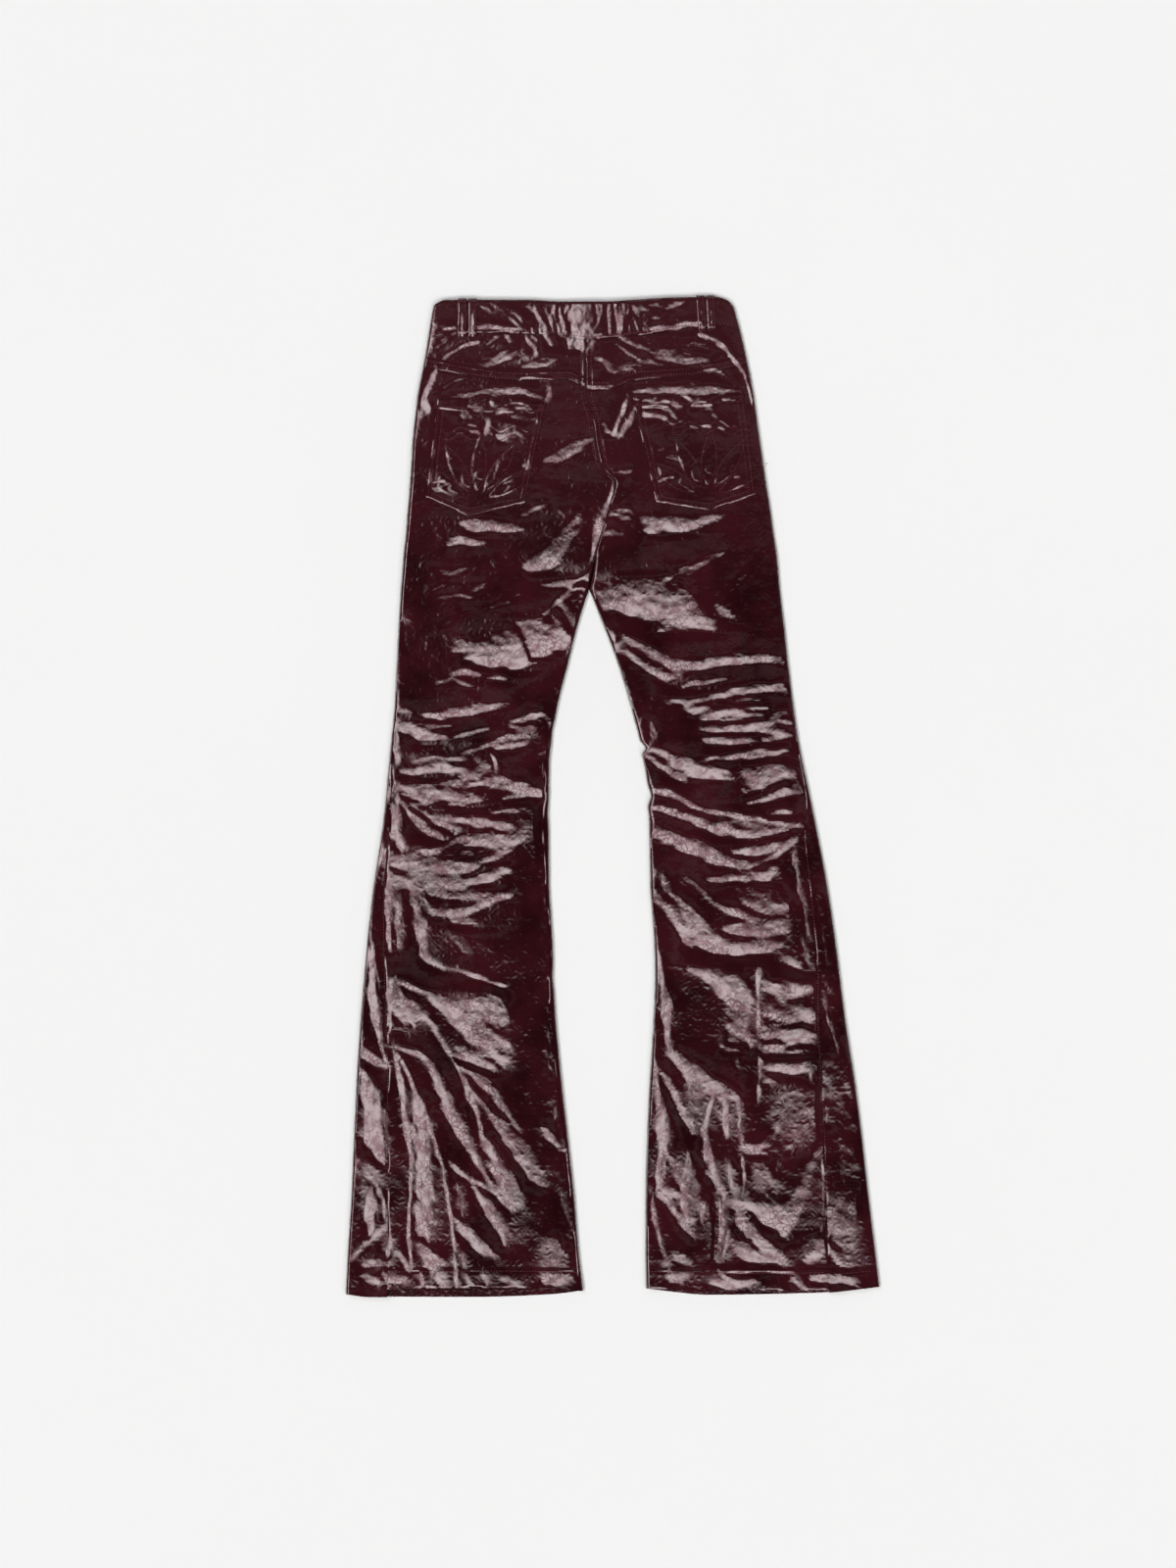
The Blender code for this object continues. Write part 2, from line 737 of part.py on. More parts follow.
def band_positions():
    """x of the waistband's columns: close together in its gathers."""
    first, last = GATHERS[0], GATHERS[-1]
    marks = sorted(
        {gather.x + shift * gather.width / 2 for gather in GATHERS for shift in (-2, -1, 0, 1, 2)}
    )
    spaced = [marks[0]]
    for mark in marks[1:]:
        if mark - spaced[-1] > 1.2:
            spaced.append(mark)
    left = steps(-196, first.x - first.width - 8, 6)
    right = steps(last.x + last.width + 6, 130, 7)
    return left + spaced + [last.x + last.width + 6] + right


def build_waistband():
    """The back waistband: one strip over the top, round both edges to the side seams."""
    low = lambda x: smooth(WAIST_SEAM, x) + SEAM_GAP / 2
    high = lambda x: smooth(WAIST_EDGE, x)
    halves = {side: Half(side, height=band_height) for side in (LEFT, RIGHT)}
    ends = (LEAST_SEAM + SEAM_GAP / 2, (LEAST_SEAM + EDGE_ARC) / 2, EDGE_ARC)

    def edge_place(side, back):
        def place(y):
            half = halves[side]
            return half.upper(half.top_length(y) - back, y, BAND_WALL)

        return place

    def flat_place(x):
        def place(y):
            height = band_height(x, y)
            return Vector((x, y, height)), Vector((x, y, height - BAND_WALL))

        return place

    places = [edge_place(LEFT, back) for back in ends]
    places += [flat_place(x) for x in band_positions()]
    places += [edge_place(RIGHT, back) for back in reversed(ends)]
    grid = [
        [settle(place, row, (row(0.0))) for place in places] for row in seam_rows(low, high, 4)
    ]
    finish("waistband_back", wall_mesh(grid), BURGUNDY)
    return grid


def build_front_band(side):
    """The waistband at the front, flat on the surface from the side seam to the opening."""
    half = Half(side, front=True, height=band_height)
    low = lambda x: smooth(FRONT_WAIST_SEAM, x) + SEAM_GAP / 2
    high = lambda x: smooth(WAIST_EDGE, x)
    grid = []
    for row in seam_rows(low, high, 3):
        count = len(front_columns(half, FRONT_WAIST, 0.0, LEAST_SEAM))

        def place(y, i):
            q = front_columns(half, y, 0.0, LEAST_SEAM)[i]
            return front_point(half, q, y, BAND_WALL)

        grid.append([settle(lambda y, i=i: place(y, i), row, FRONT_WAIST) for i in range(count)])
    name = "waistband_front_left" if side == LEFT else "waistband_front_right"
    finish(name, wall_mesh(grid), DARK_BURGUNDY)


def lay_on(grid, corners, lift, thickness):
    """A patch cut from a panel's own outer face, moved out and given its thickness."""
    mesh = bmesh.new()
    skin(mesh, [[pair[0] for pair in row] for row in grid])
    middle = sum((Vector((c[0], c[1], 0)) for c in corners), Vector()) / len(corners)
    for start, end in zip(corners, corners[1:] + corners[:1]):
        run = Vector((end[0] - start[0], end[1] - start[1], 0))
        out = Vector((run.y, -run.x, 0)).normalized()
        corner = Vector((start[0], start[1], 0))
        if out.dot(middle - corner) > 0:
            out.negate()
        bmesh.ops.bisect_plane(
            mesh,
            geom=mesh.verts[:] + mesh.edges[:] + mesh.faces[:],
            plane_co=corner,
            plane_no=out,
            clear_outer=True,
            dist=0.01,
        )
    bmesh.ops.translate(mesh, vec=(0, 0, lift), verts=mesh.verts)
    raised = bmesh.ops.extrude_face_region(mesh, geom=mesh.faces[:], use_keep_orig=True)
    top = [item for item in raised["geom"] if isinstance(item, bmesh.types.BMVert)]
    bmesh.ops.translate(mesh, vec=(0, 0, thickness), verts=top)
    return mesh


def build_pockets(back_grids):
    for pocket in POCKETS:
        corners = tuple((corner.x, corner.y) for corner in pocket.corners)
        mesh = lay_on(back_grids[pocket.side], corners, SEAM_GAP, PATCH_WALL)
        finish(pocket.name, mesh, BURGUNDY)


def build_loops(band_grid):
    """Belt loops flat on the waistband, from below its seam to just over its edge."""
    for loop in BELT_LOOPS:
        low, high = 505.0, 570.0
        corners = (
            (loop.left, low),
            (loop.right, low),
            (loop.right - loop.lean, high),
            (loop.left - loop.lean, high),
        )
        mesh = lay_on(band_grid, corners, SEAM_GAP, LOOP_WALL)
        seam = smooth(WAIST_SEAM, loop.left) + 2
        edge = smooth(WAIST_EDGE, loop.left) - 2
        for vert in mesh.verts:
            if vert.co.y < seam:
                vert.co.y -= LOOP_BELOW_SEAM
            elif vert.co.y > edge:
                vert.co.y = LOOP_TOP
        bmesh.ops.remove_doubles(mesh, verts=mesh.verts, dist=0.05)
        finish(loop.name, mesh, BURGUNDY)


def box_mesh(low, high):
    mesh = bmesh.new()
    bmesh.ops.create_cube(mesh, size=1.0)
    size = Vector(high) - Vector(low)
    bmesh.ops.scale(mesh, vec=size, verts=mesh.verts)
    bmesh.ops.translate(mesh, vec=(Vector(low) + Vector(high)) / 2, verts=mesh.verts)
    return mesh


def build_zip():
    """The closed fly zip, on the inner face of the fronts: tapes with a raised row of teeth."""
    middle = sum(CENTRE_FRONT) / 2
    floor = WALL + SEAM_GAP
    mesh = bmesh.new()
    profile = (
        (-ZIP_WIDTH / 2, floor),
        (ZIP_WIDTH / 2, floor),
        (ZIP_WIDTH / 2, floor + ZIP_TAPE),
        (ZIP_TEETH_WIDTH / 2, floor + ZIP_TAPE),
        (ZIP_TEETH_WIDTH / 2, floor + ZIP_TAPE + ZIP_TEETH_RISE),
        (-ZIP_TEETH_WIDTH / 2, floor + ZIP_TAPE + ZIP_TEETH_RISE),
        (-ZIP_TEETH_WIDTH / 2, floor + ZIP_TAPE),
        (-ZIP_WIDTH / 2, floor + ZIP_TAPE),
    )
    end = mesh.faces.new([mesh.verts.new((middle + x, ZIP_LOW, z)) for x, z in profile])
    grown = bmesh.ops.extrude_face_region(mesh, geom=[end], use_keep_orig=True)
    moved = [item for item in grown["geom"] if isinstance(item, bmesh.types.BMVert)]
    bmesh.ops.translate(mesh, vec=(0, ZIP_HIGH - ZIP_LOW, 0), verts=moved)
    finish("zip", mesh, (0.02, 0.02, 0.022), roughness=0.4, metallic=0.6, coat=0.0)


def build_hook():
    """The flat hook and bar that holds the waistband shut, inside the front opening."""
    wide, tall, thick = HOOK_SIZE
    floor = BAND_WALL + SEAM_GAP
    middle = CENTRE_FRONT[0]
    mesh = box_mesh(
        (middle - wide / 2, HOOK_Y - tall / 2, floor),
        (middle + wide / 2, HOOK_Y + tall / 2, floor + thick),
    )
    bmesh.ops.bevel(
        mesh, geom=mesh.edges[:], offset=0.3, segments=1, profile=0.5, affect="EDGES"
    )
    finish("waist_hook", mesh, (0.45, 0.45, 0.46), roughness=0.25, metallic=1.0, coat=0.0)


def main():
    for item in list(bpy.data.objects):
        bpy.data.objects.remove(item)
    back_grids = {side: build_back(side) for side in (LEFT, RIGHT)}
    for side in (LEFT, RIGHT):
        build_front(side)
        build_yoke(side)
        build_front_band(side)
    band_grid = build_waistband()
    build_pockets(back_grids)
    build_loops(band_grid)
    build_zip()
    build_hook()


main()
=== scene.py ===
"""Dresses the patent-leather trousers that lie flat on their front, back side up.

Tables and shapes are in millimetres; every mesh is turned into metres in its last step.
+X is the wearer's right leg in this view, +Y runs from the hems to the waist, +Z off the floor.
The light comes from the south and the west, so a crease shows where the cloth rises to the
north or to the east. The creases are a table of lit flanks, and one height field is relaxed
from them, so that the cloth rises on each flank and lies easy between them.
"""

from __future__ import annotations

import logging
import math
from dataclasses import dataclass
from enum import Enum
from typing import Callable, ClassVar, NamedTuple, Optional, Sequence

import bmesh
import bpy
import numpy as np
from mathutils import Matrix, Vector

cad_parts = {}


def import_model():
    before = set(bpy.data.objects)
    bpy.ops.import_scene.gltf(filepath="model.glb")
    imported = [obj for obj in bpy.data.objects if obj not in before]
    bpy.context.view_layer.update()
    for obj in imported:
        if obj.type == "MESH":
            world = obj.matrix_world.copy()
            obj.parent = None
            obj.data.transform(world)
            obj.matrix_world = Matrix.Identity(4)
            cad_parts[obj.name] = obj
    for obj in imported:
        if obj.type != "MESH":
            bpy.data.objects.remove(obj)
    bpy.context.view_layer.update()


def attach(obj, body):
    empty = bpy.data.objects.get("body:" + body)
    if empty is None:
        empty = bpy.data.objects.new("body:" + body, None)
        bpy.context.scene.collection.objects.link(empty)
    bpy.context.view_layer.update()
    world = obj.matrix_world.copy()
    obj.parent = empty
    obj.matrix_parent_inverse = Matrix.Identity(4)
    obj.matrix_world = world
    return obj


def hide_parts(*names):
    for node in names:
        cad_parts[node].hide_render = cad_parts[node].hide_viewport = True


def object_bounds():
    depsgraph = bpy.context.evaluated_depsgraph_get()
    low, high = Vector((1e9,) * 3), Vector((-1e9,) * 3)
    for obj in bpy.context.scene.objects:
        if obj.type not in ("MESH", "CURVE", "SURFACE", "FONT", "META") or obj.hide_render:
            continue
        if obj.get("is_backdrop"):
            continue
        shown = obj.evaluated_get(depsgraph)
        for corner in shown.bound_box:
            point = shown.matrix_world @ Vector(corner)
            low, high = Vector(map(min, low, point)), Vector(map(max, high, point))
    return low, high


LOG = logging.getLogger("trousers")
METRES = 0.001

Array = np.ndarray
Place = Callable[[Array, Array], tuple[Array, Array, Array]]
Surface = Callable[[Array, Array], Array]
Material = bpy.types.Material
Piece = bpy.types.Object
Socket = bpy.types.NodeSocket
Tree = bpy.types.NodeTree
Colour = tuple[float, float, float, float]
Row = tuple[float, ...]

# The cloth
WALL = 1.5
BAND_WALL = 2.4
PATCH_WALL = 1.3
LOOP_WALL = 1.3
SEAM_GAP = 0.3
THREAD_LIFT = 0.05

# The flattened section
EDGE_RADIUS = 2.0
EDGE_MIDDLE = 4.0
EDGE_TOP = 8.0
EDGE_ARC = math.pi / 2 * math.sqrt((EDGE_RADIUS**2 + EDGE_MIDDLE**2) / 2)
WEST_RISE = 2.4
EAST_RISE = 30.0
CREASE_FADE = 6.0
LEAST_SEAM = 2.0
FAR_AWAY = 300.0

# Heights up the garment
CROTCH = 231.0
CROTCH_CLOSING = 45.0
HEM_LINE = -553.0
HEM_TURN = 20.0
HEM_BLEND = 70.0
YOKE_LINE = 465.0
YOKE_BLEND = 85.0
FRONT_WAIST = 518.0
BAND_MIDDLE = 535.0
CENTRE_FRONT = (-29.0, -26.4)

CLOTH_CELL = 2.2
FRONT_CELL = 2.5
TINY = 1e-9


class Side(Enum):
    """A half of the garment, by the sign of its x."""

    LEFT = -1
    RIGHT = 1

    @property
    def word(self) -> str:
        """How the names of pieces call it."""
        return self.name.lower()


class Section(NamedTuple):
    """Outline and seams of a leg at one height; seams count inwards from the edges."""

    y: float
    outer: float
    inner: float
    side_seam: float
    inseam: float


class Hips(NamedTuple):
    """Outline and centre seam above the crotch."""

    y: float
    left: float
    centre_back: float
    right: float


class Dot(NamedTuple):
    """A point of a line, in millimetres."""

    x: float
    y: float


class Kink(NamedTuple):
    """A small notch, or a bump where inward is negative, in a leg's inner edge."""

    y: float
    reach: float
    inward: float


# The garment's lines, each from the hems up or from the left to the right
LEG = {
    Side.LEFT: (
        Section(-560, -300.3, -32.0, 50, 8), Section(-515, -298.0, -37.5, 49, 7),
        Section(-450, -294.0, -42.8, 45, 8), Section(-383, -291.0, -50.0, 42, 7),
        Section(-300, -287.0, -59.0, 38, 9), Section(-235, -282.3, -64.5, 31, 10),
        Section(-163, -276.1, -67.1, 23, 5), Section(-97, -268.4, -70.8, 16, 8),
        Section(-31, -258.5, -71.3, 12, 9), Section(35, -251.9, -70.8, 8, 8),
        Section(68, -248.5, -67.0, 5, 5), Section(101, -245.4, -61.6, 2, 3),
        Section(145, -243.1, -50.6, 2, 2.5), Section(189, -240.9, -39.6, 2, 2),
        Section(231, -238.5, -26.55, 2, 2),
    ),
    Side.RIGHT: (
        Section(-560, 301.1, 37.4, 62, 2), Section(-515, 295.9, 36.6, 57, 2),
        Section(-450, 288.0, 36.8, 51, 2), Section(-383, 280.5, 38.5, 46, 2),
        Section(-317, 272.0, 41.6, 41, 2), Section(-251, 261.8, 45.6, 35, 2),
        Section(-207, 256.3, 47.2, 29, 2), Section(-163, 250.8, 46.2, 26, 2),
        Section(-97, 240.9, 41.8, 23, 2), Section(-50, 232.0, 41.0, 19, 2),
        Section(2, 221.6, 39.5, 8, 2), Section(57, 210.1, 31.0, 6, 2),
        Section(101, 203.5, 19.8, 3, 2), Section(145, 198.0, 6.6, 2, 2),
        Section(189, 193.4, -9.9, 2, 2), Section(231, 188.3, -26.25, 2, 2),
    ),
}
HIPS = (
    Hips(231, -238.5, -26.4, 188.3), Hips(253, -236.6, -22.0, 186.4),
    Hips(276, -234.8, -17.6, 184.2), Hips(294, -232.6, -12.0, 181.4),
    Hips(311, -231.4, -5.5, 179.0), Hips(330, -229.8, -1.0, 176.2), Hips(345, -228.6, 3.0, 173.8),
    Hips(353, -228.0, 4.0, 172.6), Hips(362, -227.3, -5.0, 171.3), Hips(371, -226.7, -11.5, 169.8),
    Hips(392, -225.7, -17.6, 167.0), Hips(422, -222.9, -21.5, 162.8),
    Hips(453, -219.2, -29.4, 158.4), Hips(470, -216.0, -29.7, 155.4),
    Hips(487, -212.4, -29.7, 151.8), Hips(520, -206.8, -29.7, 144.4),
    Hips(545, -202.6, -29.7, 137.6), Hips(563, -198.0, -29.7, 134.0),
)
LOFT = (
    Dot(-563, 4.2), Dot(-400, 5.0), Dot(0, 5.4), Dot(231, 6.0), Dot(420, 6.0), Dot(520, 4.6),
    Dot(563, 3.6),
)
INNER_KINKS = {
    Side.LEFT: (Kink(72, 9, 1.0), Kink(-20, 10, 0.8), Kink(-205, 12, 1.2)),
    Side.RIGHT: (Kink(54, 5, 4.6), Kink(45, 5, -1.2), Kink(0, 8, 2.8), Kink(-12, 6, -1.4)),
}
YOKE_SEAM = (
    Dot(-214, 482), Dot(-169, 473), Dot(-107, 466), Dot(-51, 467), Dot(-23, 456), Dot(-4, 456),
    Dot(22, 466), Dot(98, 473), Dot(154, 485),
)
WAIST_SEAM = (
    Dot(-206, 514), Dot(-174, 520), Dot(-105, 519), Dot(-60, 517), Dot(-30, 512), Dot(11, 515),
    Dot(48, 519), Dot(96, 526.5), Dot(126, 527), Dot(138, 523.4), Dot(147, 522.8),
)
FRONT_WAIST_SEAM = (Dot(-206, 514), Dot(-29, 517), Dot(147, 523.2))
WAIST_EDGE = (
    Dot(-204, 549), Dot(-187, 556.6), Dot(-95, 556.6), Dot(-60, 554.8), Dot(-5, 554.8),
    Dot(20, 556.5), Dot(75, 559.6), Dot(115, 560.2), Dot(130, 556), Dot(137, 548),
)
BACK_HEM = {
    Side.LEFT: (
        Dot(-300, -559), Dot(-272, -554.5), Dot(-124, -552.2), Dot(-66, -553.2), Dot(-32, -555),
    ),
    Side.RIGHT: (
        Dot(37, -553), Dot(107, -555.5), Dot(200, -555.5), Dot(270, -553.5), Dot(300, -551),
    ),
}
FRONT_HEM = {
    Side.LEFT: (
        Dot(-300, -559.5), Dot(-272, -562.8), Dot(-150, -563.2), Dot(-66, -560), Dot(-32, -555.5),
    ),
    Side.RIGHT: (
        Dot(37, -553.5), Dot(60, -556.5), Dot(107, -560.8), Dot(230, -558.5), Dot(300, -551.5),
    ),
}


def stroke(row: Row) -> Array:
    """Points of x, y and half width from a flat row, where the half width is in tenths."""
    return np.reshape(row, (-1, 3)) / (1, 1, 10)


class Flank(NamedTuple):
    """The side of a crease that catches the light.

    rise is the direction in degrees in which the cloth climbs (0 to the east, 90 to the
    north), steep its share of the usual slope, and path its middle line, each point
    being x, y and half the flank's width there.
    """

    rise: float
    steep: float
    path: Array

    @classmethod
    def of(cls, rise: float, steep: float, *row: float) -> Flank:
        """The flank that a row of the table stands for."""
        return cls(rise, steep, stroke(row))


# Each row is a flank: its rise and steepness, then x, y and half width in tenths along it
# fmt: off
FLANKS: dict[str, tuple[Row, ...]] = {
    "waist": (
        (25,1.05, -36,549,110, -36,540,130, -37,528,140, -37,518,170),
        (90,0.9, -60,517,14, -50,514.5,30, -44,514,14),
        (60,0.9, -37,515,16, -31,513,26, -27,514,10), (90,0.9, -25,513,16, -16,516,24),
        (20,1, -89,548,8, -85,538,16, -79,528,20, -73,520,8),
        (20,0.9, -79,547,7, -72,538,11, -69,528,12, -68,521,8),
        (30,1, -68.5,542,8, -67,546,15, -66,549,8), (20,1, -66,539,7, -63,529,13, -61,521,9),
        (20,1, -60.5,546,7, -58.5,534,11, -57,521,10), (10,1, -55,541,8, -53,546,13, -51,549,8),
        (10,0.9, -48,541,7, -46,547,9), (60,0.9, -96,548,10, -92,546,22, -90,544,8),
        (20,1, -19,550,8, -17.5,541,13), (30,1, -14,551,15, -12.5,544,12, -16,536,8, -19,528,8),
        (20,1, -5,551,12, -5,535,14, -4,521,13), (20,1, 2,552,17, 3,541,12, 5.5,528,15, 6,521,10),
        (20,1, 7.5,549,8, 10,538,17, 9.5,528,11, 10,523,7), (20,0.9, 11,551,13, 13,541,7),
        (20,0.9, 17,549,12, 16,542,8), (30,0.9, 18.5,528,8, 17,520,12),
        (35,0.8, 22,537,8, 26,528,8, 28,522,7), (60,0.9, 24,548,16, 26.5,542,26, 29,538,12),
        (90,0.8, 32,547,30, 48,548,28, 58,548,14),
        (90,1, 61,549,24, 67,551,30, 73,552,20, 81,554,16),
        (60,0.75, 31,537,20, 36,534,50, 38,528,40, 36,523,20),
        (80,0.7, 41,534,16, 48,535,20, 54,536,10, 59,539,8),
        (60,0.9, -146,548,10, -141,545,22, -139,543,10),
        (70,1, -137,551,10, -131,549,20, -127,547,12),
        (80,0.7, -125,539,10, -113,541,16, -108,540,10),
        (60,0.9, -118,537,8, -111,532,12, -104,525,10),
        (50,0.9, -108,538,8, -101,530,12, -98,523,9), (20,1, -91.5,524,8, -90.5,520,8),
        (20,1, -83,524,8, -82,520,9), (20,1, -77.5,523,10, -76.5,519,8),
        (90,1, -151,525,17, -125,524.5,19, -103,523,16), (90,1, -188,523,10, -177,523.5,11),
        (90,1.3, 46,522,18, 70,525.5,22, 95,529.5,24), (30,0.9, -174.5,550,7, -173.8,546,9),
    ),
    "yokes": (
        (112,1.3, -152,509,14, -170,503,15, -185,493,16, -197,480,14),
        (-20,1.3, -197,480,14, -205,465,15, -210,451,20, -214,441,30, -208,433,20),
        (50,1.9, 98,516,14, 115,511,15, 127,501,16, 136,489,20, 146,474,15),
        (30,2.3, 146,474,15, 153,456,15, 158,441,10),
        (120,0.9, -199,502,10, -189,510,30, -176,520,15),
        (110,1, -160,478,10, -146,482,30, -132,488,60, -118,495,70, -108,504,34, -104,515,16),
        (20,1, -98,516,10, -94,509,12, -88,504,12, -87,495,10),
        (90,1, -101,481,12, -86,484,45, -72,486,35, -64,491,15),
        (80,0.6, -112,492,30, -104,494,40, -99,500,20), (30,1, -92,515,10, -86,511,12),
        (100,0.5, -178,488,30, -164,486,40, -150,484,30), (60,0.9, -121,516,14, -117,510,16),
        (30,1, -78,517,10, -70,508,20), (120,1, -143,504,10, -135,511,12, -129,517,10),
        (115,0.9, -191,455,8, -175,464,18, -161,471,18), (90,0.8, -107,472,9, -74,473.5,11),
        (90,0.9, -100,466.5,11, -70,465.5,12),
        (90,1, -182,447,10, -155,450,20, -133,453,40, -108,454,45, -92,450,25, -76,444,14),
        (10,1, -76,444,14, -72,450,14, -73,460,10),
        (75,1, 7,515,14, 20,507,15, 38,500,20, 52,494,30, 65,489,34, 87,484,30, 114,482,15),
        (90,0.6, 60,511,30, 80,507,40, 104,505,40), (160,0.9, 118,507,10, 119,498,15, 112,487,15),
        (60,1, 4,506,10, 18,495,12, 30,488,12, 52,484,10), (120,1, -22,484,12, -15,491,20),
        (70,1, -15,491,20, -8,486,30, -1,478,40, 12,477,25, 26,478,10),
        (90,0.8, 12,482,20, 35,486,30, 56,484,14),
        (90,0.95, 27,454,30, 42,455,50, 75,455.5,55, 112,455,50, 132,453,35, 145,452,12),
        (80,0.8, 48,502,30, 70,495,50, 92,490,45, 108,487,20),
        (75,0.5, 28,509,20, 50,508,35, 62,510,20), (30,0.8, 66,514,10, 75,509,16, 83,506,10),
        (60,0.9, 104,477,14, 116,476,16, 130,468,12, 142,459,8),
        (90,0.8, -30,458,10, -8,456,14, 0,460,10),
    ),
    "seat": (
        (-22,1.3, 17,446,10, 10,430,13, 0,407,18), (-35,1.25, 24,434,14, 18,419,26, 9,408,30),
        (75,1.1, 9,407,22, 0,405,22, -6,408,14, -10,418,10),
        (100,1, -75,375,18, -61,379,45, -47,387,60, -36,394,45, -23,400,14),
        (90,0.8, 0,361,10, 14,362,14, 21,366,8),
        (20,1, 5,350,8, -2,337,14, -9,322,24, -15,308,40, -19,294,42, -21,275,30, -22,258,16),
        (110,1, -22,258,14, -29,246,12, -40,235,14, -52,226,20, -61,217,22, -70,208,16,
         -76,203,20),
        (110,1.2, -98,255,30, -84,259,80, -68,269,120, -55,286,90, -45,304,50, -38,316,20),
        (90,1, -168,305,30, -152,302,80, -135,302,70, -118,300,55, -101,297,16),
        (90,1, -184,280,10, -174,287,50, -162,284,35, -144,283,20),
        (90,0.9, -100,313,10, -85,321,14, -74,327,10),
        (90,1, 34,310,30, 44,304,80, 60,304,100, 78,303,80, 98,307,50, 113,311,40, 129,316,12),
        (170,1, 31,284,10, 33,298,14, 29,310,14), (100,1, 29,311,12, 19,319,14, 4,321,12),
        (90,0.9, -4,313,14, 5,315,26, 17,309,10), (90,0.8, -9,294,14, -2,296,30, 10,292,12),
        (110,0.55, -193,252,20, -180,248,30, -163,256,10),
        (100,0.55, -206,218,8, -180,224,12, -162,223,25, -143,238,10),
        (120,0.6, -203,229,8, -188,236,8), (120,0.6, -192,190,14, -178,199,12),
        (60,0.7, -238,200,30, -230,196,20), (100,0.5, -137,210,10, -128,215,12, -116,215,8),
        (100,0.5, -200,345,20, -176,352,14),
    ),
    "pockets": (
        (45,1, -169,426,14, -164,427.5,28, -160,426,12),
        (60,1, -160,436,16, -155,435,28, -150,436,14),
        (80,0.7, -157,442,14, -148,442,24, -143,444,10),
        (20,1, -138.5,443,10, -136.5,439,18, -135,437,10),
        (20,1, -144,408,14, -141,415,20, -139.5,422,12), (90,0.9, -160,415,9, -153,414,9),
        (80,1, -158,406,12, -153,407,18, -150,406,10),
        (90,0.8, -128,433.5,9, -112,434,12, -98,434,8),
        (100,0.9, -130,427,12, -124,430,16, -119,432,10),
        (90,0.8, -120,438,10, -108,440,16, -95,438,10),
        (80,0.6, -112,424,16, -98,423,22, -86,423,12),
        (60,1, -128,401,20, -121,405,40, -115,411,40, -111,413,20),
        (70,0.7, -112,404,40, -104,405,34, -99,408,16), (45,1, -99,368,9, -96,371,16, -95,374,10),
        (90,0.9, -200,351,9, -190,352.5,10), (90,0.5, -197,341,20, -188,341,20),
        (100,0.5, -138,334,14, -131,336,14), (80,0.5, -120,350,20, -112,352,20),
        (75,1, 35,443,14, 50,443,22, 62,441,14),
        (75,1, 36,435,12, 50,437,24, 60,433,24, 70,424,14),
        (70,1, 37,426,24, 48,426,36, 60,422,18), (40,1, 67,443,10, 71,439,30, 74,436,14),
        (60,1, 82,446,14, 86,444,22), (60,0.9, 90,437,12, 97,444,20, 103,440,10),
        (70,0.8, 125,445,16, 131,446,14), (60,0.9, 105,434,14, 109,434,18),
        (60,1, 113,427,20, 116,426,28), (90,1, 104,414,10, 109,413.5,12),
        (80,0.7, 116,418,16, 124,414,30, 128,411,20), (90,0.6, 62,416,16, 70,417,24),
        (90,0.6, 74,420,10, 86,419,12), (70,0.6, 88,414,10, 97,412,14),
        (95,0.5, 52,386,14, 58,388,16), (90,0.55, 60,380,14, 70,379,20, 78,375,14),
        (110,0.8, 53,352,9, 62,355,11, 68,357,8), (90,0.9, 138,357,8, 148,356,12),
        (90,0.5, 140,346,10, 150,345,10),
    ),
    "left thigh": (
       
        (95,1, -58,171,80, -74,178,190, -90,176,240, -104,166,230, -120,161,200, -136,160,160,
         -152,157,120),
        (95,0.9, -178,162,20, -169,168,70, -160,165,50),
        (20,0.7, -57,217,20, -50,203,45, -45,191,20),
        (20,1, -69,204,14, -61,189,12, -52,179,12, -46,164,12),
        (90,0.9, -182,136,10, -166,138,34, -150,136,18),
        (100,0.7, -197,125,10, -180,131,16, -168,125,16, -158,122,10),
        (90,0.6, -140,130,14, -128,132,24, -120,129,10), (60,0.7, -239,95,30, -228,93,20),
    ),
    "left knee": (
        (95,1, -210,89,25, -192,89,40, -165,94,50, -150,97,40, -135,99,20, -117,103,8),
        (80,1, -238,76,40, -226,74,80, -215,70,90, -202,66,45, -188,64,16),
        (0,1, -243,72,14, -242,50,16, -241,38,16), (90,0.8, -210,76,16, -196,77,20, -182,78,10),
        (105,0.8, -182,62,10, -162,69,16, -140,74,12),
        (105,1, -167,45,18, -155,50,24, -138,57,24, -121,64,24, -108,67,34, -96,67,40),
        (95,1, -113,83,14, -100,85,36, -88,88,34, -80,91,14),
        (60,1, -113,76,20, -102,73,45, -92,76,35), (95,1, -130,52,24, -115,55,40, -99,58,26),
        (20,1, -137,45,18, -133,36,22, -134,25,20),
        (85,1, -236,26,20, -220,26,40, -205,31,60, -190,32,65, -176,29,30, -163,29,16),
        (85,0.9, -222,37,16, -205,42,18, -185,41,16, -166,40,20),
        (75,1, -150,42,30, -146,32,60, -155,24,70, -172,17,50, -190,13,24),
        (100,0.9, -186,8.5,10, -160,10,14, -140,16,14, -126,20,10),
        (70,1, -130,14,20, -122,17,30, -116,16,20),
        (95,1, -141,11,10, -122,8,16, -106,8,60, -93,5,55, -81,3,24, -70,1,10),
        (100,1, -122,-4,8, -100,-1,20, -80,0,20, -66,0.5,10),
        (90,1, -240,10,20, -228,3,80, -213,1,90, -203,0,90),
        (90,1, -195,2,80, -180,-1,85, -165,-3,70, -150,-6,24),
        (20,1, -242,4,20, -243,-18,40, -243,-42,50, -238,-54,60),
        (60,1, -236,-8,15, -229,-18,30, -219,-30,45, -206,-40,40, -194,-46,24),
        (70,1, -226,-12,14, -210,-20,26, -196,-30,40, -182,-36,45, -174,-38,30),
        (90,0.8, -203,-16,12, -188,-17,14),
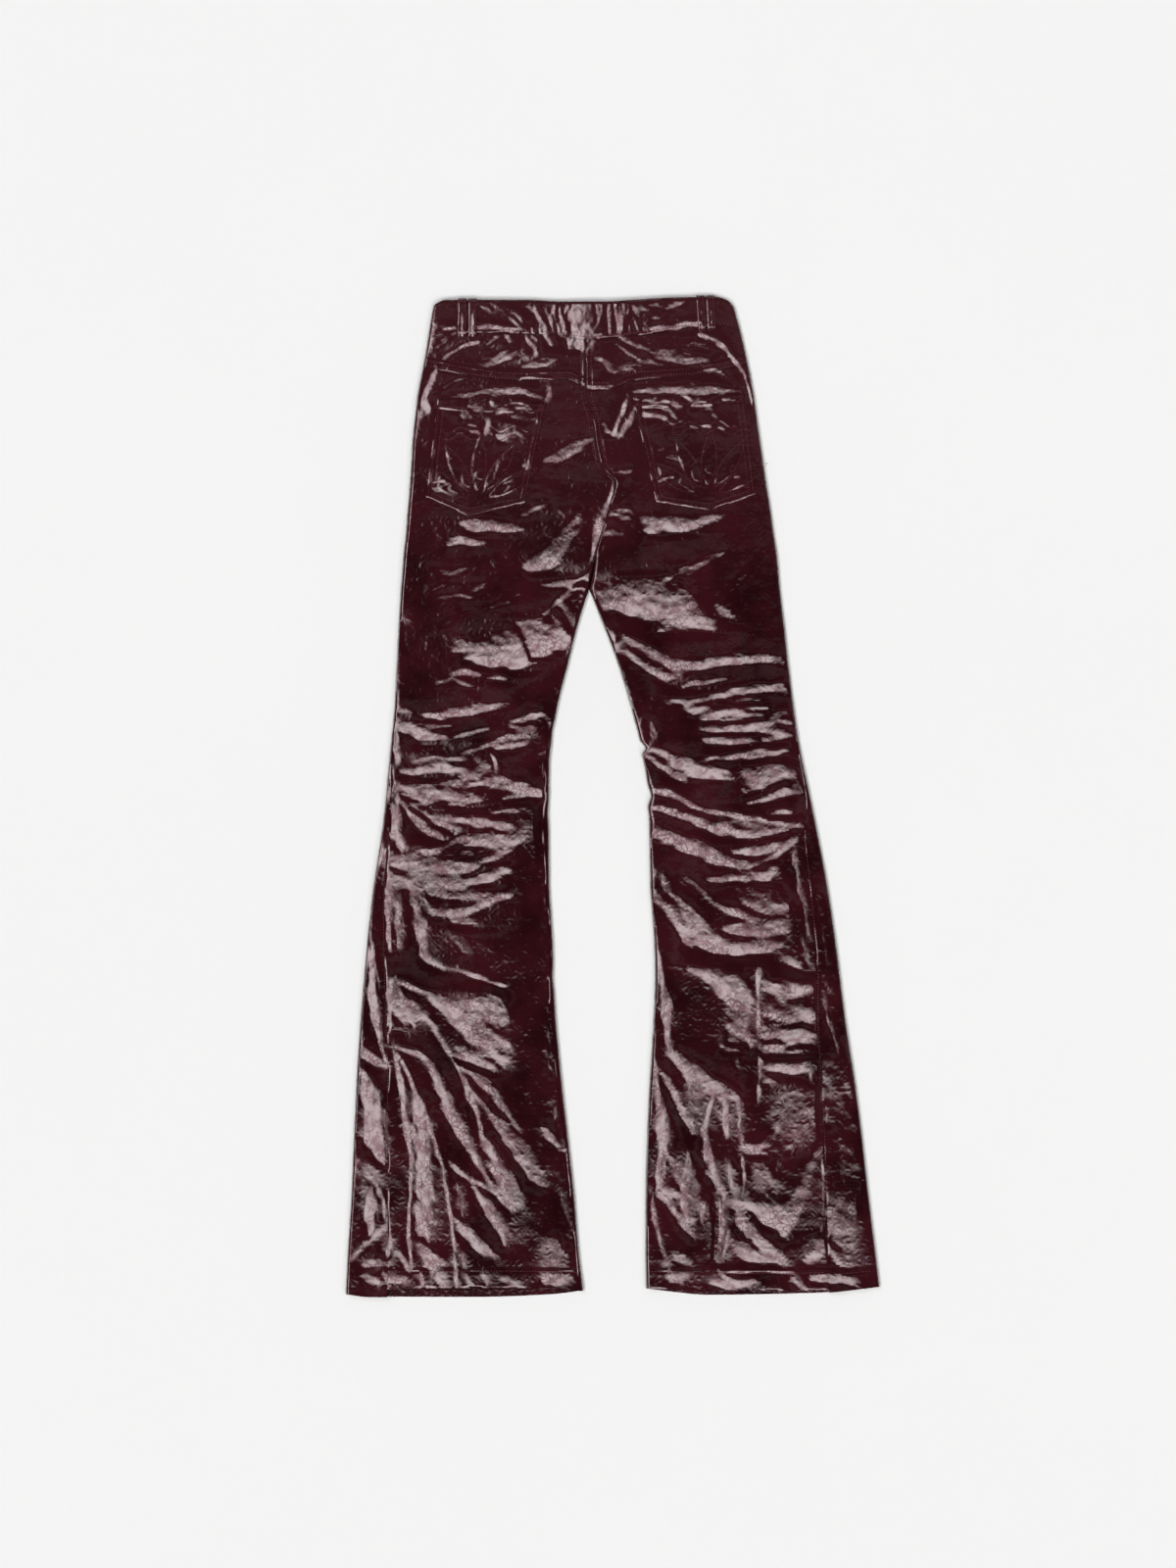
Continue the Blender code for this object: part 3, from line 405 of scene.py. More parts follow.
        (90,1, -198,-24,12, -176,-26,26, -150,-31,50, -130,-33,45, -112,-37,40),
        (40,1, -96,-17,30, -99,-27,50, -102,-38,50),
        (90,0.8, -136,-20,10, -120,-18,24, -106,-18,16),
        (90,0.9, -170,-50,50, -148,-49,80, -126,-48,80, -106,-44,50),
        (100,1, -220,-64,20, -192,-60,24, -172,-50,16),
        (90,1, -242,-72,80, -216,-79,150, -190,-80,150, -165,-77,120, -140,-68,100, -118,-58,60,
         -103,-48,40),
        (90,1, -242,-96,70, -216,-98,110, -190,-99,100, -165,-99,60, -140,-91,60, -118,-84,30),
        (10,1, -251,-88,26, -252,-120,24, -252,-150,24, -251,-173,16),
        (30,0.7, -241,-108,60, -240,-140,50, -240,-166,40),
        (50,1, -219,-108,100, -216,-130,80, -216,-150,70, -214,-168,60, -209,-182,40),
        (90,0.8, -198,-112,80, -180,-113,60, -160,-113,50, -140,-111,24),
        (70,0.8, -200,-128,70, -192,-134,40),
        (100,1, -180,-131,50, -165,-131,50, -148,-123,40, -130,-117,40, -115,-112,30),
        (90,0.9, -178,-142,34, -158,-142,40), (60,0.5, -180,-158,40, -168,-168,50, -160,-178,30),
        (0,1, -76,91,8, -69,80,12), (0,1, -78,58,10, -79,42,10, -79,28,10, -76,18,15, -70,6,10),
        (0,1, -79,-20,10, -79,-60,10, -79,-100,14, -77,-125,14, -73,-143,16, -68,-157,10),
    ),
    "left calf": (
        (60,1, -213,-180,30, -203,-188,24, -190,-194,16),
        (80,1, -190,-194,14, -175,-197,14, -160,-201,20, -145,-206,20, -120,-216,10),
        (60,1, -243,-214,40, -240,-227,90, -235,-241,140, -226,-248,90, -213,-248,30),
        (0,1, -250,-212,16, -251,-240,16, -251,-263,14),
        (75,1, -240,-209,14, -220,-219,16, -202,-224,18),
        (60,1, -203,-228,30, -186,-238,80, -167,-250,130, -148,-264,190, -132,-280,140,
         -124,-297,60),
        (80,1, -165,-236,60, -137,-236,130, -125,-252,60),
        (60,1, -166,-290,90, -150,-297,80, -136,-304,50),
        (45,1, -210,-251,12, -203,-258,20, -197,-270,16, -187,-285,14, -175,-305,10),
        (80,0.6, -246,-263,16, -232,-264,24),
        (60,1, -248,-282,10, -230,-286,18, -215,-292,24, -205,-302,30),
        (35,1, -205,-302,30, -197,-318,40, -190,-335,55, -182,-355,75, -173,-372,70, -163,-390,50,
         -155,-406,34),
        (35,1, -155,-406,30, -147,-422,20, -139,-436,16, -126,-454,16, -114,-466,10),
        (35,1, -172,-310,14, -166,-325,22, -160,-340,30, -154,-356,20, -149,-372,20),
        (40,1, -149,-376,24, -143,-390,45, -134,-405,60, -128,-420,90, -121,-435,120,
         -115,-450,100, -111,-462,40),
        (50,0.9, -165,-310,20, -152,-317,40, -140,-328,50, -130,-340,40, -118,-357,30,
         -105,-376,16),
        (45,1, -166,-322,12, -152,-340,14, -139,-356,10),
        (50,0.8, -136,-361,40, -122,-375,70, -110,-391,80, -98,-408,90, -88,-425,70, -79,-438,30),
        (60,1, -170,-307,10, -155,-312,12, -139,-321,10),
        (35,1, -244,-288,10, -236,-300,10, -228,-318,12, -222,-333,20),
        (30,1, -222,-335,20, -217,-350,70, -213,-370,100, -212,-400,90, -210,-430,90,
         -211,-460,100, -211,-487,100),
        (15,1, -206,-372,12, -198,-395,12, -192,-416,12, -187,-445,12, -182,-475,12, -179,-502,12,
         -177,-530,12),
        (10,1, -246,-290,10, -241,-310,12, -240,-328,14),
        (10,1, -238,-318,24, -236,-340,20, -236,-358,20, -232,-372,34, -230,-388,24, -227,-402,15),
        (10,1, -227,-402,15, -227,-430,15, -229,-460,15, -230,-490,15, -229,-510,12, -226,-530,12),
        (60,1, -216,-503,20, -210,-514,60, -203,-522,80, -193,-525,40),
        (60,1, -181,-415,16, -170,-425,12, -158,-434,16, -146,-438,20),
        (40,1, -158,-438,10, -150,-447,30, -141,-461,60, -131,-475,75, -124,-488,50, -122,-502,20),
        (50,1, -176,-476,12, -168,-487,50, -159,-497,45, -149,-506,50, -141,-513,50, -131,-517,12),
        (20,0.8, -168,-516,30, -168,-526,30), (30,0.5, -172,-440,40, -169,-470,30),
        (80,0.7, -146,-440,14, -130,-449,16, -112,-463,10),
    ),
    "left edges": (
       
        (20,1, -270,-168,14, -271,-195,30, -270,-222,50, -268,-245,50, -264,-262,24, -260,-282,14,
         -253,-306,12),
        (70,1, -283,-284,16, -275,-293,50, -264,-300,50, -254,-306,20),
        (20,1, -278,-314,24, -272,-335,90, -268,-360,120, -267,-382,130, -264,-400,80,
         -257,-412,30),
        (60,0.7, -278,-415,20, -268,-425,80, -262,-436,50),
        (20,1, -272,-446,50, -272,-470,70, -272,-491,40),
        (10,1, -265,-443,14, -257,-458,18, -254,-480,18),
        (120,1, -293,-522,14, -280,-507,18, -268,-495,20, -256,-486,24),
        (20,1, -253,-488,20, -251,-500,30, -252,-511,40), (80,0.7, -277,-526,40, -265,-526,40),
        (10,1, -72,-182,10, -73,-210,16, -73,-240,20, -72,-262,20, -71,-280,34, -69,-300,40,
         -66,-316,20),
        (10,1, -64,-325,12, -65,-352,34, -61,-372,24, -56,-390,16, -52,-399,12),
        (70,1, -77,-374,10, -70,-384,40, -62,-392,24, -54,-399,16),
        (10,1, -60,-400,10, -55,-412,16, -54,-428,14, -55,-448,40, -53,-465,44, -48,-479,20,
         -45,-489,12, -49,-501,10),
        (50,0.8, -68,-504,50, -60,-520,80, -58,-540,100, -72,-546,60),
    ),
    "right thigh": (
       
        (85,1, -8,217,70, 4,224,170, 24,222,200, 45,218,230, 62,215,240, 76,208,180, 90,199,110,
         104,192,70, 115,186,24),
        (115,0.8, 60,241,40, 76,249,40, 92,257,40, 106,264,30, 126,273,10),
        (75,0.9, 117,213,10, 124,206,40, 131,201,30, 141,197,8),
        (90,0.8, 52,185,20, 66,187,26, 82,187,16),
        (140,0.5, 186,281,10, 172,277,12, 156,258,16, 138,238,30),
        (90,1, 4,168,20, 14,174,30, 30,167,34, 45,159,40, 58,152,50, 70,146,60, 85,145,60,
         105,147,50, 130,151,50, 155,153,50, 178,153,40, 190,151,24, 195,145,10),
        (75,1, 4,164,20, 15,161,14, 26,152,20, 38,144,30, 50,136,40, 62,132,50, 74,136,40),
        (90,0.9, 79,122,20, 92,125,26, 106,127,20, 127,130,8), (90,0.8, 60,106,15, 80,106,15),
        (95,1, 82,101,20, 100,106,25, 118,111,30, 135,116,34, 152,118,34, 172,119,40, 188,121,40,
         195,113,14),
        (90,0.6, 138,105,14, 154,107,24, 168,106,10), (90,1, 82,95,16, 92,94,40, 109,98,12),
        (90,1, 100,89,16, 120,93,44, 140,92,44, 167,89,12), (90,0.9, 100,84,14, 145,84,10),
        (90,0.9, 149,98,10, 161,98,22, 174,98,10),
        (95,1, 99,74,20, 120,74,32, 140,74,40, 155,76,40, 170,80,26, 186,84,34, 200,80,14),
        (80,1, 155,72,10, 175,72,18, 192,71,22, 203,66,10), (90,0.6, 185,91,30, 195,93,20),
        (90,1, 104,60,20, 125,60,46, 145,60,42, 163,61,12),
        (90,0.9, 169,62,20, 183,64,36, 200,68,12),
        (95,1, 106,41,10, 130,42,20, 150,44,36, 166,48,50, 180,46,26, 194,50,20),
        (20,0.8, 203,64,12, 203,55,18, 204,42,14),
    ),
    "right knee": (
        (80,1, 34,49,18, 46,51,20, 60,46,30, 75,36,70, 90,29,100, 105,26,80, 120,24,60, 137,18,14),
        (70,1, 33,45,10, 44,40,14, 56,32,20, 66,23,30, 80,19,34),
        (20,0.6, 43,80,20, 46,68,30, 44,57,20),
        (80,1, 153,26,50, 161,18,120, 173,25,90, 187,27,70, 199,24,70),
        (30,1, 203,30,20, 204,14,46, 210,3,20), (105,0.9, 148,3,10, 165,9,16, 186,18,10),
        (100,1, 152,-10,10, 165,-7,22, 180,-2,44, 196,4,38, 212,2,12),
        (90,0.9, 178,-22,10, 190,-19,28, 200,-20,16),
        (80,1, 44,6,20, 60,2,30, 75,-4,30, 90,-13,24, 106,-18,20, 126,-22,26, 142,-23,26,
         156,-26,20, 180,-31,16, 209,-33,26),
        (85,1, 40,-13,20, 55,-16,30, 75,-22,40, 95,-30,44, 112,-37,50, 126,-37,70, 142,-44,44,
         160,-45,44, 180,-41,30, 202,-36,14),
        (85,0.7, 138,-31,30, 155,-32,30, 172,-35,20),
        (80,1, 45,-43,70, 65,-48,70, 85,-56,80, 105,-65,80, 122,-73,60, 142,-79,50, 162,-77,30),
        (120,1, 162,-77,26, 178,-70,24, 190,-60,34, 201,-51,40, 209,-46,20),
        (90,1, 138,-64,34, 155,-63,64, 172,-60,64, 187,-55,24),
        (95,1, 110,-96,20, 130,-93,40, 152,-92,60, 173,-91,50, 181,-82,30),
        (90,0.6, 140,-105,20, 155,-110,50, 175,-112,50), (40,0.7, 57,-90,30, 59,-104,40),
        (20,1, 206,-52,60, 209,-80,64, 212,-105,50, 215,-120,36),
        (20,1, 216,-124,26, 219,-150,24, 218,-165,40, 217,-180,40, 222,-194,24),
        (60,0.6, 84,-92,10, 96,-103,14, 108,-115,12),
    ),
    "right calf": (
        (60,1, 65,-110,14, 76,-120,28, 85,-131,54, 93,-147,100, 103,-160,120, 118,-170,90),
        (85,1, 118,-171,90, 140,-172,80, 160,-170,80, 182,-168,80),
        (55,1, 42,-119,10, 55,-120,18, 63,-128,30, 70,-140,40, 78,-152,50, 85,-163,60),
        (60,1, 43,-118,10, 52,-112,12),
        (85,1, 102,-112,8, 113,-122,12, 124,-127,18, 137,-132,38, 152,-138,40),
        (85,1, 129,-150,34, 146,-152,80, 166,-148,120, 183,-146,120),
        (80,0.9, 148,-119,40, 170,-124,90, 186,-126,80),
        (85,0.8, 189,-183,40, 205,-190,40, 216,-196,30, 225,-196,12),
        (70,1, 86,-194,20, 100,-199,40, 118,-207,90, 133,-216,140, 142,-229,130, 140,-246,110,
         139,-262,80, 137,-274,50),
        (170,1, 155,-205,10, 153,-225,10, 150,-250,10, 146,-276,10),
        (10,1, 164,-200,40, 162,-210,16, 163,-240,14, 164,-270,14, 164,-292,20, 165,-312,16,
         162,-345,10),
        (40,0.9, 150,-270,30, 156,-276,50),
        (80,1, 170,-211,40, 190,-221,110, 207,-220,80, 219,-216,50),
        (80,1, 178,-242,80, 192,-246,120, 208,-246,90, 218,-248,70),
        (80,1, 178,-266,100, 200,-268,90, 222,-272,50),
        (100,1, 167,-288,40, 180,-284,40, 200,-279,30), (80,0.7, 185,-290,30, 207,-288,30),
        (70,1, 172,-306,50, 186,-306,60, 202,-308,50, 216,-306,60),
        (20,1, 222,-302,40, 223,-322,30), (60,0.9, 171,-318,60, 180,-323,30),
        (50,1, 216,-334,70, 203,-341,90, 192,-354,90, 187,-370,80),
        (60,0.9, 214,-356,80, 204,-374,100, 196,-390,80, 187,-400,40),
        (15,1, 50,-178,10, 54,-200,15, 57,-215,20, 59,-229,40, 62,-243,64, 61,-258,40, 62,-275,30),
        (50,1, 63,-282,30, 66,-291,50, 78,-300,70, 92,-313,90, 108,-324,80, 124,-332,50,
         139,-339,24),
        (50,0.9, 95,-328,120, 92,-346,90, 88,-362,60, 89,-377,24),
        (70,0.7, 122,-283,14, 132,-286,26, 141,-286,14), (20,0.6, 139,-296,20, 142,-308,24),
    ),
    "right hem": (
        (25,1, 49,-306,14, 49,-318,20, 51,-335,26, 55,-352,50, 57,-375,70, 57,-395,60),
        (20,1, 55,-402,50, 54,-418,50, 53,-432,50, 50,-442,20),
        (50,1, 52,-308,10, 60,-318,20, 67,-332,26, 74,-348,30, 82,-362,40, 89,-376,20),
        (50,0.9, 60,-400,20, 66,-414,20, 70,-427,10),
        (20,1, 117,-332,20, 110,-345,30, 105,-360,30, 102,-375,30, 103,-390,30, 107,-405,50,
         113,-425,50, 117,-439,24),
        (30,1, 124,-338,50, 127,-354,60, 127,-370,40, 128,-382,20),
        (40,1, 130,-412,20, 133,-430,40, 137,-445,50, 141,-460,60, 147,-475,70, 155,-490,70),
        (55,1, 155,-490,70, 165,-501,60, 178,-512,40, 192,-520,14),
        (80,0.9, 144,-506,40, 149,-515,80, 162,-518,60, 182,-522,24),
        (20,1, 135,-334,30, 141,-342,20, 142,-360,16, 142,-378,16, 145,-390,20),
        (90,1, 145,-393,20, 154,-397,30, 166,-397,30, 174,-391,24),
        (140,1, 174,-391,24, 180,-380,30, 184,-368,40), (90,0.9, 148,-402,14, 171,-403,14),
        (10,1, 145,-403,16, 146,-420,16, 146,-440,14, 145,-456,10),
        (60,0.8, 165,-416,50, 170,-428,100, 168,-442,80),
        (40,0.8, 187,-410,40, 184,-428,60, 183,-442,40),
        (60,1, 155,-460,50, 167,-464,120, 177,-470,140, 190,-480,90, 192,-494,30),
        (120,1, 234,-396,16, 228,-405,26, 222,-418,26, 217,-432,30, 212,-447,50, 205,-462,60,
         198,-478,60, 192,-496,16),
        (0,0.9, 234,-398,9, 235,-430,9, 236,-460,9, 234,-488,9),
        (90,0.9, 233,-500,20, 229,-514,50, 220,-524,30),
        (20,1, 45,-446,20, 44,-460,26, 46,-475,20, 50,-490,14, 54,-505,12, 58,-516,10),
        (50,1, 50,-447,20, 62,-456,34, 70,-468,30, 80,-484,26, 92,-498,12),
        (70,0.8, 60,-447,50, 74,-446,40),
        (30,1, 84,-400,10, 85,-414,40, 82,-430,80, 80,-446,70, 80,-460,50, 86,-476,40),
        (20,1, 104,-455,20, 100,-466,26, 98,-478,14),
        (30,1, 122,-442,40, 125,-455,70, 124,-471,60, 122,-487,30, 120,-505,24, 117,-522,26),
        (20,0.9, 131,-488,14, 127,-505,18, 121,-522,14),
        (60,0.7, 62,-520,20, 61,-532,30, 66,-543,40, 78,-541,60), (60,0.7, 72,-518,30, 86,-525,30),
        (70,1, 113,-548,24, 130,-550,40, 150,-549,30),
        (50,0.9, 122,-537,16, 136,-548,20, 158,-545,20),
        (90,0.9, 126,-535,10, 160,-536,10, 200,-536,10), (30,1, 207,-544,40, 212,-551,30),
        (70,0.9, 226,-542,40, 236,-543,40), (50,0.9, 246,-546,24, 256,-541,26, 268,-545,60),
        (70,0.8, 245,-512,30, 256,-526,40, 270,-530,40), (60,0.9, 190,-528,26, 186,-526,14),
    ),
    "right edges": (
       
        (25,1, 232,-112,20, 235,-138,30, 239,-160,34, 243,-180,44, 245,-200,60, 243,-220,84,
         244,-245,80, 249,-260,50, 254,-278,36, 255,-288,34),
        (35,1, 257,-294,40, 255,-306,90, 250,-320,120, 247,-335,84, 243,-350,50, 240,-366,16),
        (60,0.9, 264,-326,40, 268,-340,30),
        (40,0.9, 261,-350,50, 264,-370,50, 263,-390,44, 261,-405,70, 266,-416,70, 262,-430,50),
        (45,1, 266,-444,40, 262,-455,64, 258,-468,100, 257,-482,130, 252,-492,80),
        (60,0.9, 252,-500,40, 262,-506,70, 263,-517,50),
    ),
    "left hem": (
        (60,0.8, -277,-540,34, -266,-547,40), (20,1, -256,-538,10, -253,-550,14),
        (60,0.9, -244,-542,60, -236,-545,40), (20,1, -216,-538,18, -214,-551,24),
        (20,1, -204,-538,14, -205,-551,12), (60,1, -194,-540,60, -189,-548,60),
        (10,1, -178,-535,14, -176,-551,18), (30,1, -166,-538,10, -160,-550,16),
        (40,0.8, -142,-538,34, -141,-547,24), (80,0.6, -122,-544,24, -108,-548,24),
        (20,1, -240,-513,12, -234,-523,14, -231,-532,12),
        (120,1, -252,-530,12, -250,-522,14, -243,-517,12),
    ),
}

# Dark splits in the lit flanks: x, y and half width in tenths along each
SLITS: tuple[Row, ...] = (
    (-105,185,20, -98,168,24, -92,150,16), (-168,-93,14, -145,-83,18, -120,-70,14),
    (-185,-71,14, -160,-72,16, -140,-66,12), (208,-253,14, 225,-262,14),
    (165,-292,14, 190,-298,14), (-20,205,12, 20,190,16, 60,196,12),
)
# fmt: on


def smooth(knots: Sequence[Sequence[float]], at: Array | float) -> Array:
    """Values on the smooth curve through some knots, which never overshoots them.

    Args:
        knots: (position, value) pairs, in order of position.
        at: the positions to read.

    Returns:
        The curve's values there.
    """
    table = np.asarray(knots, float)
    x, value = table[:, 0], table[:, 1]
    chord = np.diff(value) / np.diff(x)
    slope = np.empty(len(x))
    slope[0], slope[-1] = chord[0], chord[-1]
    same = chord[:-1] * chord[1:]
    both = np.where(same > 0, chord[:-1] + chord[1:], 1.0)
    slope[1:-1] = np.where(same > 0, 2 * same / both, 0.0)
    at = np.clip(at, x[0], x[-1])
    i = np.clip(np.searchsorted(x, at, side="right") - 1, 0, len(x) - 2)
    span = x[i + 1] - x[i]
    t = (at - x[i]) / span
    return (
        value[i] * (1 + 2 * t) * (1 - t) ** 2
        + value[i + 1] * t * t * (3 - 2 * t)
        + slope[i] * span * t * (1 - t) ** 2
        - slope[i + 1] * span * t * t * (1 - t)
    )


def ease(t: Array | float) -> Array:
    """0 below 0, 1 above 1, smooth between."""
    t = np.clip(t, 0.0, 1.0)
    return t * t * (3 - 2 * t)


def dip(distance: Array, reach: float) -> Array:
    """A rounded hollow: 1 on a line, 0 from about twice the reach away."""
    return np.exp(-((distance / reach) ** 2))


def swelling(west: Array, east: Array) -> Array:
    """Share of the loft reached some way in from the west edge and from the east edge."""
    return (1 - (1 - np.clip(west / WEST_RISE, 0, 1)) ** 2) * (1 - np.exp(-east / EAST_RISE))


def marks(length: float, cell: float, first: float = 0.7, last: float = 0.7) -> Array:
    """Positions of grid lines, closer together at both ends.

    Args:
        length: distance to cover.
        cell: spacing in the middle.
        first: spacing at the start.
        last: spacing at the end.

    Returns:
        Positions from 0 to 1.
    """
    low, high = [0.0], [length]
    step = first
    while step < cell * 0.95:
        low.append(low[-1] + step)
        step *= 1.45
    step = last
    while step < cell * 0.95:
        high.append(high[-1] - step)
        step *= 1.45
    count = max(int(round((high[-1] - low[-1]) / cell)), 1)
    middle = np.linspace(low[-1], high[-1], count + 1)
    return np.concatenate([low[:-1], middle, high[-2::-1]]) / length


class Outline:
    """The garment's edges and seams as functions of the height up it."""

    @staticmethod
    def column(table: Sequence[NamedTuple], name: str) -> list[tuple[float, float]]:
        """(y, value) pairs of one named column."""
        return [(row.y, getattr(row, name)) for row in table]

    def __init__(self) -> None:
        """Prepares every line once."""
        self.legs = {
            (side, name): self.column(LEG[side], name)
            for side in Side
            for name in ("outer", "inner", "side_seam", "inseam")
        }
        self.hips = {name: self.column(HIPS, name) for name in ("left", "centre_back", "right")}
        self.loft_line = [(dot.x, dot.y) for dot in LOFT]

    def outer(self, side: Side, y: Array) -> Array:
        """x of the silhouette's outer edge."""
        leg, hip = smooth(self.legs[side, "outer"], y), smooth(self.hips[side.word], y)
        return np.where(y <= CROTCH, leg, hip)

    def inner(self, side: Side, y: Array, front: bool = False) -> Array:
        """x of a leg's inner edge, or of the centre seam above the crotch.

        Args:
            side: which leg.
            y: heights up the garment.
            front: whether it is the front's, which has its own centre line.

        Returns:
            The x.
        """
        leg = smooth(self.legs[side, "inner"], y)
        for kink in INNER_KINKS[side]:
            leg = leg + side.value * kink.inward * dip(y - kink.y, kink.reach)
        if front:
            rise = np.clip((y - CROTCH) / (FRONT_WAIST - CROTCH), 0, 1)
            centre = CENTRE_FRONT[1] + (CENTRE_FRONT[0] - CENTRE_FRONT[1]) * rise
        else:
            centre = smooth(self.hips["centre_back"], y)
        return np.where(y <= CROTCH, leg, centre + side.value * SEAM_GAP / 2)

    def closing(self, y: Array) -> Array:
        """1 where the inner edge is a leg's rounded edge, 0 where the halves are joined."""
        return 1 - ease((y - CROTCH) / CROTCH_CLOSING)

    def side_seam(self, side: Side, y: Array) -> Array:
        """How far the side seam lies in from the outer edge, on the upper side."""
        return smooth(self.legs[side, "side_seam"], y)

    def inseam(self, side: Side, y: Array) -> Array:
        """How far the inseam lies in from the inner edge, on the upper side."""
        return np.where(y <= CROTCH, smooth(self.legs[side, "inseam"], y), 0.0)

    def loft(self, y: Array) -> Array:
        """How far the middle of the top stands above its edges."""
        return smooth(self.loft_line, y)

    def depths(self, x: Array, y: Array, left: Array) -> tuple[Array, Array, Array]:
        """How far in points lie.

        Args:
            x: their x.
            y: their y.
            left: which of them are on the left half.

        Returns:
            How far each is from its half's west edge, its east edge and the nearer of them.
        """
        outer = np.where(left, self.outer(Side.LEFT, y), self.outer(Side.RIGHT, y))
        inner = np.where(left, self.inner(Side.LEFT, y), self.inner(Side.RIGHT, y))
        away = np.where(left, -1.0, 1.0)
        from_outer = np.maximum(away * (outer - x), 0)
        from_inner = np.maximum(away * (x - inner), 0) + (1 - self.closing(y)) * FAR_AWAY
        west = np.where(left, from_outer, from_inner)
        east = np.where(left, from_inner, from_outer)
        return west, east, np.minimum(from_outer, from_inner)


class Grain:
    """Smooth unevenness of about one wavelength in millimetres, repeated over a wide square."""

    size = 384

    def __init__(self, wavelength: float, seed: int) -> None:
        """Filters noise to the wavelength.

        Args:
            wavelength: distance from crest to crest.
            seed: picks one pattern.
        """
        noise = np.random.default_rng(seed).standard_normal((self.size, self.size))
        waves = np.fft.fftfreq(self.size) * wavelength
        band = np.exp(-(((np.hypot(waves[:, None], waves[None, :]) - 1) / 0.5) ** 2))
        values = np.real(np.fft.ifft2(np.fft.fft2(noise) * band))
        self.values = values / values.std()

    def at(self, x: Array, y: Array) -> Array:
        """The unevenness at some points, as shares of its own spread.

        Args:
            x: x of the points.
            y: y of the points.

        Returns:
            The unevenness.
        """
        i, j = np.floor(y).astype(int), np.floor(x).astype(int)
        t, s = y - i, x - j
        total = 0.0
        for up, along in ((0, 0), (0, 1), (1, 0), (1, 1)):
            share = (t if up else 1 - t) * (s if along else 1 - s)
            total = total + share * self.values[(i + up) % self.size, (j + along) % self.size]
        return total


